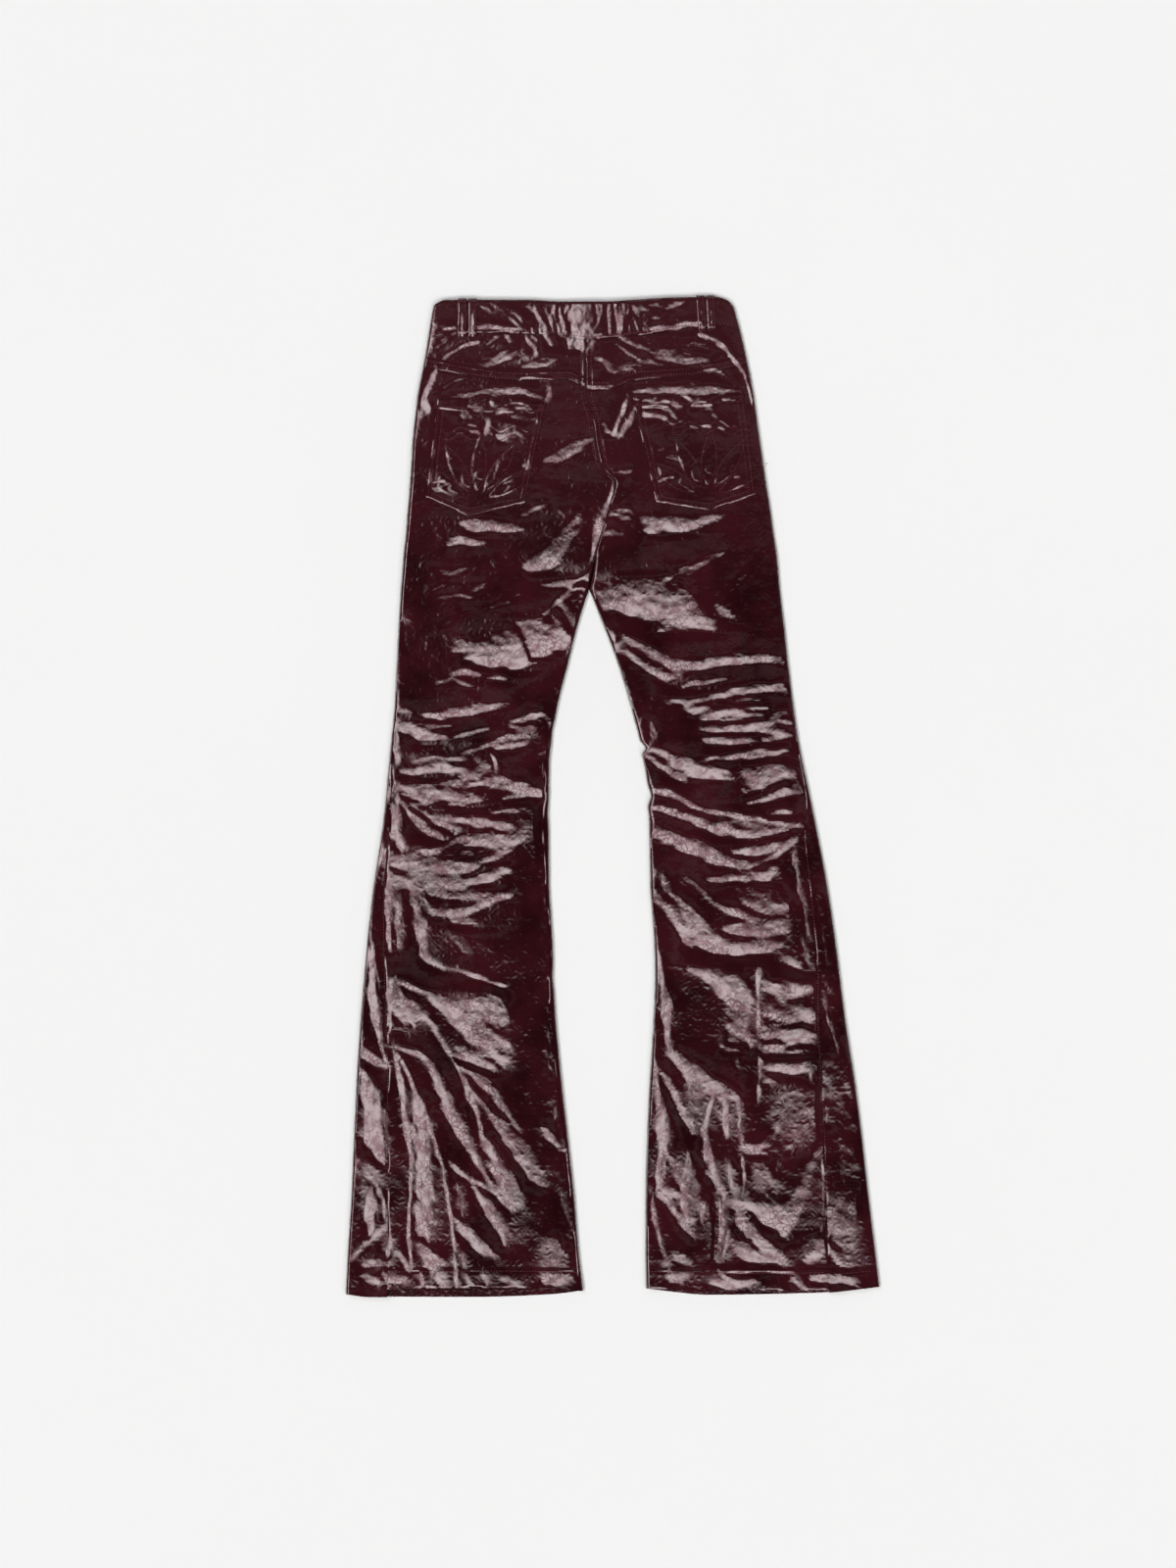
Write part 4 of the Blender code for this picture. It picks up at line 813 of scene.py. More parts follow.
class CreaseField:
    """Height of the creases over the whole garment, relaxed from the table of lit flanks."""

    reach = (306, 570)
    cloth_ends = (-562, 560)
    stiff_edge = 8
    cell = 1.5
    slope = 0.125
    widen = 0.5
    streak_length = 3.4
    ragged = 0.20
    widest_rag = 2.0
    uneven = 0.14
    easing = 0.45
    fading = 1.6
    crumple = ((9.0, 0.014, 0.007), (19.0, 0.018, 0.009))
    calm = 0.015
    steepest = -0.7
    spread = 70.0
    softness = 2.2
    margin = 7
    rounds = 80

    def __init__(self, outline: Outline) -> None:
        """Paints the flanks and relaxes the field.

        Args:
            outline: the garment's edges.
        """
        self.outline = outline
        self.x, self.y = (np.arange(-end, end + 0.1, self.cell) for end in self.reach)
        self.gx, self.gy = np.meshgrid(self.x, self.y)
        self.base, self.inside = self._base()
        self.streaks = Grain(8.5, 3)
        lit, east, north = self._paint()
        self.height = self._relax(lit, east, north) + self._crumple(lit)

    def _base(self) -> tuple[Array, Array]:
        """Height of the cloth with no creases, and where the cloth is.

        Returns:
            Heights over the grid, and which of its points are on the cloth.
        """
        x, y, lines = self.gx, self.gy, self.outline
        left = np.where(y > CROTCH, x < lines.inner(Side.LEFT, y), x < 0)
        west, east, near = lines.depths(x, y, left)
        low, high = self.cloth_ends
        inside = (near > self.stiff_edge) & (y < high) & (y > low)
        return EDGE_TOP + lines.loft(y) * swelling(west, east), inside

    def _stroke(self, dots: Array, rise: float = 0.0) -> tuple[tuple, Array, Array, Array]:
        """Covers one soft stroke with ragged sides.

        Args:
            dots: rows of x, y and half width.
            rise: the way that it rises, as an angle.

        Returns:
            The window of the grid that it touches, its cover there, from 0 to 1, the streaks
            that run along it, and the share of the way up it, from -1 at its foot to 1.
        """
        pad = dots[:, 2].max() + self.margin
        j0, j1 = np.searchsorted(self.x, [dots[:, 0].min() - pad, dots[:, 0].max() + pad])
        i0, i1 = np.searchsorted(self.y, [dots[:, 1].min() - pad, dots[:, 1].max() + pad])
        window = (slice(i0, i1), slice(j0, j1))
        x, y = self.gx[window], self.gy[window]
        cover, up = np.zeros_like(x), np.zeros_like(x)
        run = dots[-1, :2] - dots[0, :2]
        turn = math.atan2(run[1], run[0])
        along = x * math.cos(turn) + y * math.sin(turn)
        aside = y * math.cos(turn) - x * math.sin(turn)
        streaks = self.streaks.at(along / self.streak_length, aside)
        for (ax, ay, aw), (bx, by, bw) in zip(dots[:-1], dots[1:]):
            dx, dy = bx - ax, by - ay
            t = np.clip(((x - ax) * dx + (y - ay) * dy) / (dx * dx + dy * dy + TINY), 0, 1)
            east, north = x - ax - t * dx, y - ay - t * dy
            half = aw + t * (bw - aw) + self.widen
            half = half + np.minimum(self.ragged * half, self.widest_rag) * streaks
            share = (east * math.cos(rise) + north * math.sin(rise)) / np.maximum(half, 1.0)
            share = np.clip(share, -1, 1)
            wide = np.clip(share, 0, 1) * np.clip(half / 5, 0, 1)
            fade = self.softness * (1 + self.fading * wide)
            here = np.clip(0.5 + (half - np.hypot(east, north)) / fade, 0, 1)
            up = np.where(here > cover, share, up)
            cover = np.maximum(cover, here)
        return window, cover, streaks, up

    def _crumple(self, lit: Array) -> Array:
        """Height of the small crumples, stronger where the cloth is pulled into flanks.

        Args:
            lit: share of each cell that is lit.

        Returns:
            Heights over the grid.
        """
        height = np.zeros_like(lit)
        for number, (wavelength, strong, weak) in enumerate(self.crumple):
            slope = weak + (strong - weak) * lit
            grain = Grain(wavelength, 11 + number).at(self.gx * 0.9 + 0.35 * self.gy, self.gy)
            height += grain * slope * wavelength / (2 * math.pi)
        return height

    def _paint(self) -> tuple[Array, Array, Array]:
        """Share of each cell that is lit, and the slope it is to have to the east and north.

        Returns:
            The share and the two slopes, over the grid.
        """
        lit, east, north = (np.zeros_like(self.gx) for _ in range(3))
        for row in (row for rows in FLANKS.values() for row in rows):
            flank = Flank.of(*row)
            turn = math.radians(flank.rise)
            window, cover, streaks, up = self._stroke(flank.path, turn)
            half = flank.path[:, 2].mean()
            easing = self.easing * np.clip((half - 1.5) / 3, 0, 1)
            steep = flank.steep * (1 + 0.5 / max(half, 1.0))
            steep = steep * np.clip(1 + self.uneven * streaks, 0.3, 1.9) * (1 - easing * up)
            share = cover * flank.steep
            share = share / (lit[window] + share + TINY)
            for grid, part in ((east, math.cos(turn)), (north, math.sin(turn))):
                grid[window] = grid[window] * (1 - share) + part * steep * share
            lit[window] = np.maximum(lit[window], cover)
        for row in SLITS:
            window, cover, _, _ = self._stroke(stroke(row))
            lit[window] *= 1 - cover
        return lit, east, north

    def _relax(self, lit: Array, east: Array, north: Array) -> Array:
        """Finds the height whose slopes are the wanted ones on lit cells and easy elsewhere.

        Args:
            lit: share of each cell that is lit.
            east: wanted slope to the east, as a share.
            north: wanted slope to the north, as a share.

        Returns:
            Heights over the grid.
        """
        rows, columns = lit.shape
        kx = 2 * np.sin(np.pi * np.fft.fftfreq(columns)) / self.cell
        ky = 2 * np.sin(np.pi * np.fft.fftfreq(rows)) / self.cell
        stiffness = kx[None, :] ** 2 + ky[:, None] ** 2 + 1 / self.spread**2
        fall_x, fall_y = np.zeros_like(lit), np.zeros_like(lit)
        fall_x[:, :-1] = np.diff(self.base, axis=1) / self.cell
        fall_y[:-1] = np.diff(self.base, axis=0) / self.cell
        most_x = self.calm - np.clip(fall_x, -0.05, 0.03)
        most_y = self.calm - np.clip(fall_y, -0.05, 0.05)
        height = np.zeros_like(lit)
        for _ in range(self.rounds):
            slope_x = (np.roll(height, -1, 1) - height) / self.cell
            slope_y = (np.roll(height, -1, 0) - height) / self.cell
            easy_x = np.maximum(np.minimum(slope_x, most_x), self.steepest)
            easy_y = np.maximum(np.minimum(slope_y, most_y), self.steepest)
            rest_x = np.where(self.inside, easy_x, slope_x * 0.9)
            rest_y = np.where(self.inside, easy_y, slope_y * 0.9)
            want_x = lit * self.slope * east + (1 - lit) * rest_x
            want_y = lit * self.slope * north + (1 - lit) * rest_y
            spring = (want_x - np.roll(want_x, 1, 1)) + (want_y - np.roll(want_y, 1, 0))
            height = np.real(np.fft.ifft2(-np.fft.fft2(spring / self.cell) / stiffness))
        return height

    def at(self, x: Array, y: Array) -> Array:
        """Height of the creases at some points, smoothly between the grid's own.

        Args:
            x: x of the points.
            y: y of the points.

        Returns:
            The heights.
        """
        column = (np.asarray(x, float) - self.x[0]) / self.cell
        row = (np.asarray(y, float) - self.y[0]) / self.cell
        j = np.clip(np.floor(column).astype(int), 1, len(self.x) - 3)
        i = np.clip(np.floor(row).astype(int), 1, len(self.y) - 3)
        s, t = np.clip(column - j, 0, 1), np.clip(row - i, 0, 1)

        def weights(u: Array) -> tuple[Array, ...]:
            """Shares of the four neighbours on a cubic through the middle two.

            Args:
                u: share of the way from one of the middle two to the other.

            Returns:
                The four shares.
            """
            return (
                u * (-0.5 + u * (1 - 0.5 * u)),
                1 + u * u * (-2.5 + 1.5 * u),
                u * (0.5 + u * (2 - 1.5 * u)),
                u * u * (-0.5 + 0.5 * u),
            )

        across, up = weights(s), weights(t)
        total = np.zeros(np.broadcast(column, row).shape)
        for a in range(4):
            line = sum(across[b] * self.height[i + a - 1, j + b - 1] for b in range(4))
            total += up[a] * line
        return total


class Cloth:
    """The shape in which the cloth lies: its height, and points along its flattened section."""

    def __init__(self) -> None:
        """Relaxes the creases over the outline."""
        self.lines = Outline()
        self.creases = CreaseField(self.lines)
        self.rolls = Grain(55.0, 5)

    def roll(self, x: Array, y: Array) -> Array:
        """Share of its roll that a seam has at some points: in places it lies flat."""
        return ease(0.30 + 0.5 * self.rolls.at(x, y))

    def top(self, x: Array, y: Array) -> Array:
        """Height of the upper side's outer face, away from the rounded edges.

        Args:
            x: x of the points.
            y: y of the points.

        Returns:
            The heights.
        """
        left = x < self.lines.inner(Side.LEFT, y) + SEAM_GAP / 2
        west, east, near = self.lines.depths(x, y, left)
        plain = EDGE_TOP + self.lines.loft(y) * swelling(west, east)
        return plain + self.creases.at(x, y) * ease(near / CREASE_FADE)

    def band_top(self, x: Array, y: Array) -> Array:
        """Height of the waistband's outer face, which is two layers."""
        return self.top(x, y) + BAND_WALL - WALL

    def width(self, side: Side, y: Array, front: bool) -> Array:
        """Width of one half of the section."""
        return side.value * (self.lines.outer(side, y) - self.lines.inner(side, y, front))

    def top_length(self, side: Side, y: Array, front: bool = False) -> Array:
        """Length over one half of the top, from middle to middle of its edges."""
        return self.width(side, y, front) - 2 * EDGE_RADIUS + 2 * EDGE_ARC

    def _bend(self, r: Array, shut: Array) -> tuple[Array, Array]:
        """How far in and how far up a point is, at a length past the edge's middle.

        Args:
            r: the length.
            shut: 1 where the edge is rounded, 0 where the halves are joined.

        Returns:
            How far in, and the share of the way up.
        """
        turn = np.clip(r / EDGE_ARC, 0, 1) * math.pi / 2
        eased = (1 - shut) * np.clip(r / EDGE_ARC, 0, 1) + shut * (1 - np.cos(turn))
        inward = np.where(r >= EDGE_ARC, EDGE_RADIUS + r - EDGE_ARC, EDGE_RADIUS * eased)
        return inward, np.where(r >= EDGE_ARC, 1.0, 1 - shut * (1 - np.sin(turn)))

    def _across(
        self, side: Side, inward: Array, from_outer: Array, y: Array, front: bool
    ) -> Array:
        """x of a point that lies some way in from the nearer edge.

        Args:
            side: the half.
            inward: how far in the point lies.
            from_outer: whether the outer edge is the nearer.
            y: height up the garment.
            front: whether it is on the front.

        Returns:
            The x.
        """
        from_out = self.lines.outer(side, y) - side.value * inward
        from_in = self.lines.inner(side, y, front) + side.value * inward
        return np.where(from_outer, from_out, from_in)

    def round(
        self, side: Side, p: Array, y: Array, height: Surface,
        front: bool = False, under: Optional[Surface] = None,
    ) -> tuple[Array, Array]:
        """Points round one half's section.

        Args:
            side: the half.
            p: length along the top from the inner edge's middle; on a front it is the length
                along the underside from the outer edge, and past either end it is on the top.
            y: height up the garment.
            height: the top's height.
            front: whether p runs along the underside.
            under: how far the underside stands off the floor.

        Returns:
            x and z of each point.
        """
        total = self.top_length(side, y, front)
        below = (p >= 0) & (p <= total) if front else np.zeros(np.shape(p), bool)
        q = np.where(p < 0, total + p, np.where(p > total, p - total, p)) if front else p
        from_outer = np.where(below, q < total / 2, q > total / 2)
        r = np.where(q > total / 2, total - q, q)
        shut = np.where(from_outer, 1.0, self.lines.closing(y))
        inward, rise = self._bend(r, shut)
        x = self._across(side, inward, from_outer, y, front)
        above = EDGE_MIDDLE + rise * (height(x, y) - EDGE_MIDDLE)
        raised = 0.0 if under is None else under(x, y) * rise
        return x, np.where(below, EDGE_MIDDLE * (1 - rise) + raised, above)

    @staticmethod
    def settle(
        place: Callable[[Array], tuple[Array, Array]], row: Callable[[Array], Array], start: Array
    ) -> tuple[Array, Array, Array]:
        """Points whose height up the garment follows their own x.

        Args:
            place: x and z of the points for some y.
            row: y for some x.
            start: y to begin with.

        Returns:
            x, y and z of the points.
        """
        y = start
        for _ in range(4):
            x, _ = place(y)
            y = row(x)
        x, z = place(y)
        return x, y, z


def read_points(mesh: bpy.types.Mesh) -> Array:
    """Vertex positions of a mesh as rows of x, y, z.

    Args:
        mesh: the mesh.

    Returns:
        The rows.
    """
    flat = np.empty(len(mesh.vertices) * 3, np.float64)
    mesh.vertices.foreach_get("co", flat)
    return flat.reshape(-1, 3)


def write_points(mesh: bpy.types.Mesh, points: Array) -> None:
    """Moves the vertices of a mesh."""
    mesh.vertices.foreach_set("co", np.ascontiguousarray(points, np.float32).ravel())
    mesh.update()


def link(name: str, mesh: bpy.types.Mesh) -> Piece:
    """An object at the origin that carries a mesh.

    Args:
        name: the object's name.
        mesh: what it carries.

    Returns:
        The object.
    """
    made = bpy.data.objects.new(name, mesh)
    bpy.context.scene.collection.objects.link(made)
    return made


def sheet_mesh(
    name: str, across: Array, along: Array, place: Place, mirrored: bool = False
) -> Piece:
    """A grid whose lines are moved to the cloth's places.

    Args:
        name: the piece's name.
        across: position of each grid line across, from 0 to 1.
        along: position of each grid line up the garment, from 0 to 1.
        place: x, y and z in millimetres for arrays of both positions.
        mirrored: whether the first positions run the other way round the cloth.

    Returns:
        The object, with its faces outwards.
    """
    grid = bmesh.new()
    bmesh.ops.create_grid(grid, x_segments=len(across) - 1, y_segments=len(along) - 1, size=1.0)
    mesh = bpy.data.meshes.new(name)
    grid.to_mesh(mesh)
    grid.free()
    flat = (read_points(mesh)[:, :2] + 1) / 2
    i = np.rint(flat[:, 0] * (len(across) - 1)).astype(int)
    j = np.rint(flat[:, 1] * (len(along) - 1)).astype(int)
    u, v = np.meshgrid(across, along)
    x, y, z = (np.broadcast_to(part, u.shape) for part in place(u, v))
    write_points(mesh, np.stack([x[j, i], y[j, i], z[j, i]], axis=1) * METRES)
    if mirrored:
        mesh.flip_normals()
    return link(name, mesh)


def thicken(piece: Piece, thickness: float, *materials: Material) -> Piece:
    """Gives a sheet its wall, inwards, and bakes it into the mesh.

    Args:
        piece: the sheet.
        thickness: wall in millimetres.
        materials: the outer finish and, where there are two, the inner one.

    Returns:
        The same object.
    """
    for material in materials:
        piece.data.materials.append(material)
    wall = piece.modifiers.new("wall", "SOLIDIFY")
    wall.thickness = thickness * METRES
    wall.offset = -1.0
    wall.material_offset = len(materials) - 1
    bpy.context.view_layer.update()
    view = bpy.context.evaluated_depsgraph_get()
    solid = bpy.data.meshes.new_from_object(piece.evaluated_get(view))
    solid.name = piece.name
    piece.modifiers.clear()
    old = piece.data
    piece.data = solid
    bpy.data.meshes.remove(old)
    finish_mesh(piece)
    return piece


def finish_mesh(piece: Piece, angle: float = 62.0) -> None:
    """Smooth shading with sharp edges where the surface turns hard."""
    piece.data.shade_smooth()
    piece.data.set_sharp_from_angle(angle=math.radians(angle))


@dataclass(frozen=True)
class Thread:
    """A row of stitches along a seam."""

    pitch: float = 3.3
    length: float = 2.5
    width: float = 0.75
    height: float = 0.5

    def dots(self, path: Array) -> tuple[Array, Array]:
        """Middles and directions of the stitches along a path of x, y, z rows.

        Args:
            path: rows of x, y, z along the seam.

        Returns:
            The middles, and the runs from end to end.
        """
        steps = np.linalg.norm(np.diff(path[:, :2], axis=0), axis=1)
        run = np.concatenate([[0], np.cumsum(steps)])
        count = max(int(run[-1] / self.pitch), 1)
        middles = (np.arange(count) + 0.5) * run[-1] / count
        ends = [
            np.stack([np.interp(middles + half, run, path[:, k]) for k in range(3)], axis=1)
            for half in (-self.length / 2, self.length / 2)
        ]
        return (ends[0] + ends[1]) / 2, ends[1] - ends[0]


def stitch_mesh(
    name: str, rows: Sequence[Array], thread: Thread, material: Material
) -> Piece:
    """All the stitches of one piece, each a small rounded grain of thread.

    Args:
        name: the piece's name.
        rows: paths of x, y, z rows in millimetres.
        thread: the stitches' sizes.
        material: the thread's finish.

    Returns:
        The object.
    """
    found = [thread.dots(path) for path in rows]
    middle = np.concatenate([dots for dots, _ in found])
    run = np.concatenate([ways for _, ways in found])
    grain = bmesh.new()
    bmesh.ops.create_icosphere(grain, subdivisions=1, radius=0.5)
    bmesh.ops.scale(grain, vec=(thread.length, thread.width, thread.height), verts=grain.verts)
    one = bpy.data.meshes.new("grain")
    grain.to_mesh(one)
    grain.free()
    shape = read_points(one)
    many = bmesh.new()
    for _ in range(len(middle)):
        many.from_mesh(one)
    mesh = bpy.data.meshes.new(name)
    many.to_mesh(mesh)
    many.free()
    bpy.data.meshes.remove(one)
    along = run / np.maximum(np.linalg.norm(run, axis=1, keepdims=True), TINY)
    aside = np.cross([0.0, 0.0, 1.0], along)
    aside /= np.maximum(np.linalg.norm(aside, axis=1, keepdims=True), TINY)
    up = np.cross(along, aside)
    points = (
        middle[:, None]
        + shape[None, :, :1] * along[:, None]
        + shape[None, :, 1:2] * aside[:, None]
        + shape[None, :, 2:] * up[:, None]
    )
    write_points(mesh, points.reshape(-1, 3) * METRES)
    mesh.materials.append(material)
    mesh.shade_smooth()
    return link(name, mesh)


def feed(tree: Tree, socket: Socket, value: object) -> None:
    """Links a socket to another node's, or gives it a plain value.

    Args:
        tree: where both are.
        socket: the input.
        value: an output, or a number, colour or vector.
    """
    if isinstance(value, bpy.types.NodeSocket):
        tree.links.new(value, socket)
    else:
        socket.default_value = value


def node(tree: Tree, kind: str, **values: object) -> bpy.types.Node:
    """A shader node with some of its settings and sockets set.

    Args:
        tree: where it goes.
        kind: its type, without the words that they all begin with.
        values: settings by name, then sockets by name, with underscores for spaces.

    Returns:
        The node.
    """
    made = tree.nodes.new(f"ShaderNode{kind}")
    for name, value in values.items():
        if hasattr(made, name):
            setattr(made, name, value)
        else:
            feed(tree, made.inputs[name.replace("_", " ")], value)
    return made


def maths(tree: Tree, kind: str, first: object, second: object) -> Socket:
    """A sum, product or the like of two sockets or numbers.

    Args:
        tree: where it goes.
        kind: the operation.
        first: a socket or number.
        second: another.

    Returns:
        The result.
    """
    made = node(tree, "Math", operation=kind)
    for socket, value in zip(made.inputs, (first, second)):
        feed(tree, socket, value)
    return made.outputs[0]


def ramp(tree: Tree, source: Socket, *stops: float) -> Socket:
    """A smooth step of a value.

    Args:
        tree: where it goes.
        source: the value.
        stops: from, to, low and high.

    Returns:
        The stepped value.
    """
    names = ("From_Min", "From_Max", "To_Min", "To_Max")
    step = node(
        tree, "MapRange", interpolation_type="SMOOTHSTEP", Value=source, **dict(zip(names, stops))
    )
    return step.outputs["Result"]


def mix_colours(tree: Tree, share: Socket, first: object, second: object) -> Socket:
    """A mix of two colours, each a socket or plain, by a value.

    Args:
        tree: where it goes.
        share: how much of the second there is.
        first: a socket or colour.
        second: another.

    Returns:
        The mixed colour.
    """
    mixed = node(tree, "Mix", data_type="RGBA", Factor=share)
    feed(tree, mixed.inputs[6], first)
    feed(tree, mixed.inputs[7], second)
    return mixed.outputs[2]


class Effect:
    """A shader node group while it is built: its tree, its inputs and the place it is seen at."""

    kinds = {"VALUE": "NodeSocketFloat", "RGBA": "NodeSocketColor"}

    def __init__(self, name: str, **inputs: float | Colour) -> None:
        """Opens the group.

        Args:
            name: its name.
            inputs: first value of each input.
        """
        self.tree = bpy.data.node_groups.new(name, "ShaderNodeTree")
        for label, value in inputs.items():
            kind = "RGBA" if isinstance(value, tuple) else "VALUE"
            self._socket(label, "INPUT", kind).default_value = value
        self.given = self.tree.nodes.new("NodeGroupInput").outputs
        self.place = node(self.tree, "TexCoord").outputs["Object"]

    def _socket(self, label: str, way: str, kind: str) -> bpy.types.NodeTreeInterfaceSocket:
        """A named input or output of the group.

        Args:
            label: its name.
            way: INPUT or OUTPUT.
            kind: VALUE or RGBA.

        Returns:
            The socket.
        """
        return self.tree.interface.new_socket(
            name=label, in_out=way, socket_type=self.kinds[kind]
        )

    def close(self, **outputs: Socket) -> Tree:
        """Gives the group its outputs by name, and hands it over.

        Args:
            outputs: what each output passes on.

        Returns:
            The group.
        """
        for label, source in outputs.items():
            self._socket(label, "OUTPUT", source.type)
        end = self.tree.nodes.new("NodeGroupOutput")
        for label, source in outputs.items():
            self.tree.links.new(source, end.inputs[label])
        return self.tree


def crackle_effect() -> Tree:
    """The lacquer's fine crackle: a height for bumps, and a mask of how glossy it is.

    Returns:
        The group.
    """
    effect = Effect("lacquer crackle", Cells=150.0, Ripple=170.0)
    tree, place, given = effect.tree, effect.place, effect.given
    warp = node(tree, "TexNoise", Vector=place, Scale=55.0, Detail=3.0)
    shifted = node(tree, "Mix", data_type="VECTOR", Factor=0.022)
    feed(tree, shifted.inputs[4], place)
    feed(tree, shifted.inputs[5], warp.outputs["Color"])
    cells = node(
        tree, "TexVoronoi", feature="DISTANCE_TO_EDGE",
        Vector=shifted.outputs[1], Scale=given["Cells"],
    )
    lines = ramp(tree, cells.outputs["Distance"], 0.0, 0.14, 1.0, 0.0)
    patches = node(tree, "TexNoise", Vector=place, Scale=22.0, Detail=2.0)
    shown = ramp(tree, patches.outputs["Fac"], 0.42, 0.62, 0.1, 1.0)
    cracks = maths(tree, "MULTIPLY", lines, shown)
    waves = node(
        tree, "TexNoise", noise_type="RIDGED_MULTIFRACTAL", normalize=True,
        Vector=place, Scale=given["Ripple"], Detail=4.0, Roughness=0.55,
    )
    blotches = node(
        tree, "TexNoise", Vector=place, Scale=70.0, Detail=6.0, Roughness=0.65, Distortion=0.6
    )
    polished = ramp(tree, blotches.outputs["Fac"], 0.34, 0.62, 0.25, 1.0)
    gloss = maths(tree, "MULTIPLY", polished, maths(tree, "SUBTRACT", 1.0, cracks))
    return effect.close(Height=waves.outputs["Fac"], Gloss=gloss)


def cloudy_effect() -> Tree:
    """Slow changes of tone over the cloth: a mix of two colours, and the mask that mixed them.

    Returns:
        The group.
    """
    effect = Effect("cloudy tone", Scale=14.0, Low=(0.0, 0.0, 0.0, 1.0), High=(1.0, 1.0, 1.0, 1.0))
    tree, given = effect.tree, effect.given
    cloud = node(
        tree, "TexNoise", Vector=effect.place, Scale=given["Scale"], Detail=5.0, Roughness=0.6
    )
    mask = ramp(tree, cloud.outputs["Fac"], 0.32, 0.68, 0.0, 1.0)
    return effect.close(Color=mix_colours(tree, mask, given["Low"], given["High"]), Mask=mask)


def weave_effect() -> Tree:
    """A plain weave: its height over the threads.

    Returns:
        The group.
    """
    effect = Effect("plain weave", Threads=1400.0)
    tree, place, scale = effect.tree, effect.place, effect.given["Threads"]
    threads = [
        node(tree, "TexWave", bands_direction=way, Vector=place, Scale=scale).outputs["Fac"]
        for way in ("X", "Y")
    ]
    return effect.close(Height=maths(tree, "MAXIMUM", *threads))


class Finish(Enum):
    """The finishes of the garment."""

    PATENT = "patent_leather"
    BACKING = "cloth_backing"
    THREAD = "burgundy_thread"
    TAPE = "zip_tape"
    TEETH = "zip_teeth"
    STEEL = "hook_steel"
    FLOOR = "studio_floor"


@dataclass(frozen=True)
class PatentLeather:
    """Burgundy leather under glossy lacquer with a fine crackle; painted light makes it paler up
    to the waist.
    """

    low: Colour = (0.015, 0.0015, 0.0029, 1.0)
    high: Colour = (0.038, 0.0046, 0.0074, 1.0)
    cloud: float = 16.0
    # Painted light: the base colour is mixed towards this paler colour up the garment to the
    # waist, standing in for the brighter diffuse light that falls on the hips.
    pale: Colour = (0.041, 0.0076, 0.0104, 1.0)
    painted_light_ramp: tuple[float, float, float, float] = (0.20, 0.57, 0.0, 0.95)
    tint: Colour = (1.0, 0.62, 0.70, 1.0)
    roughness: float = 0.07
    dulling: float = 0.04
    ior: float = 1.42
    coat: float = 1.0
    coat_ior: float = 1.5
    coat_roughness: float = 0.03
    relief: float = 0.00018


@dataclass(frozen=True)
class PlainFinish:
    """A finish of a cloudy colour with a fine relief."""

    low: Colour
    high: Colour
    roughness: float
    metallic: float = 0.0
    cloud: float = 60.0
    threads: float = 0.0
    relief: float = 0.00005


PLAIN = {
    Finish.BACKING: PlainFinish(
        (0.05, 0.03, 0.03, 1), (0.08, 0.05, 0.05, 1), 0.85, threads=1300.0, relief=0.0001
    ),
    Finish.THREAD: PlainFinish((0.11, 0.018, 0.027, 1), (0.18, 0.04, 0.053, 1), 0.42, cloud=900.0),
    Finish.TAPE: PlainFinish(
        (0.012, 0.011, 0.013, 1), (0.022, 0.02, 0.023, 1), 0.8, threads=1800.0
    ),
    Finish.TEETH: PlainFinish(
        (0.20, 0.18, 0.16, 1), (0.32, 0.29, 0.25, 1), 0.32, metallic=1.0, cloud=400.0
    ),
    Finish.STEEL: PlainFinish(
        (0.48, 0.48, 0.49, 1), (0.62, 0.62, 0.63, 1), 0.28, metallic=1.0, cloud=300.0
    ),
    Finish.FLOOR: PlainFinish((0.872, 0.872, 0.875, 1), (0.882, 0.882, 0.885, 1), 0.9, cloud=2.0),
}


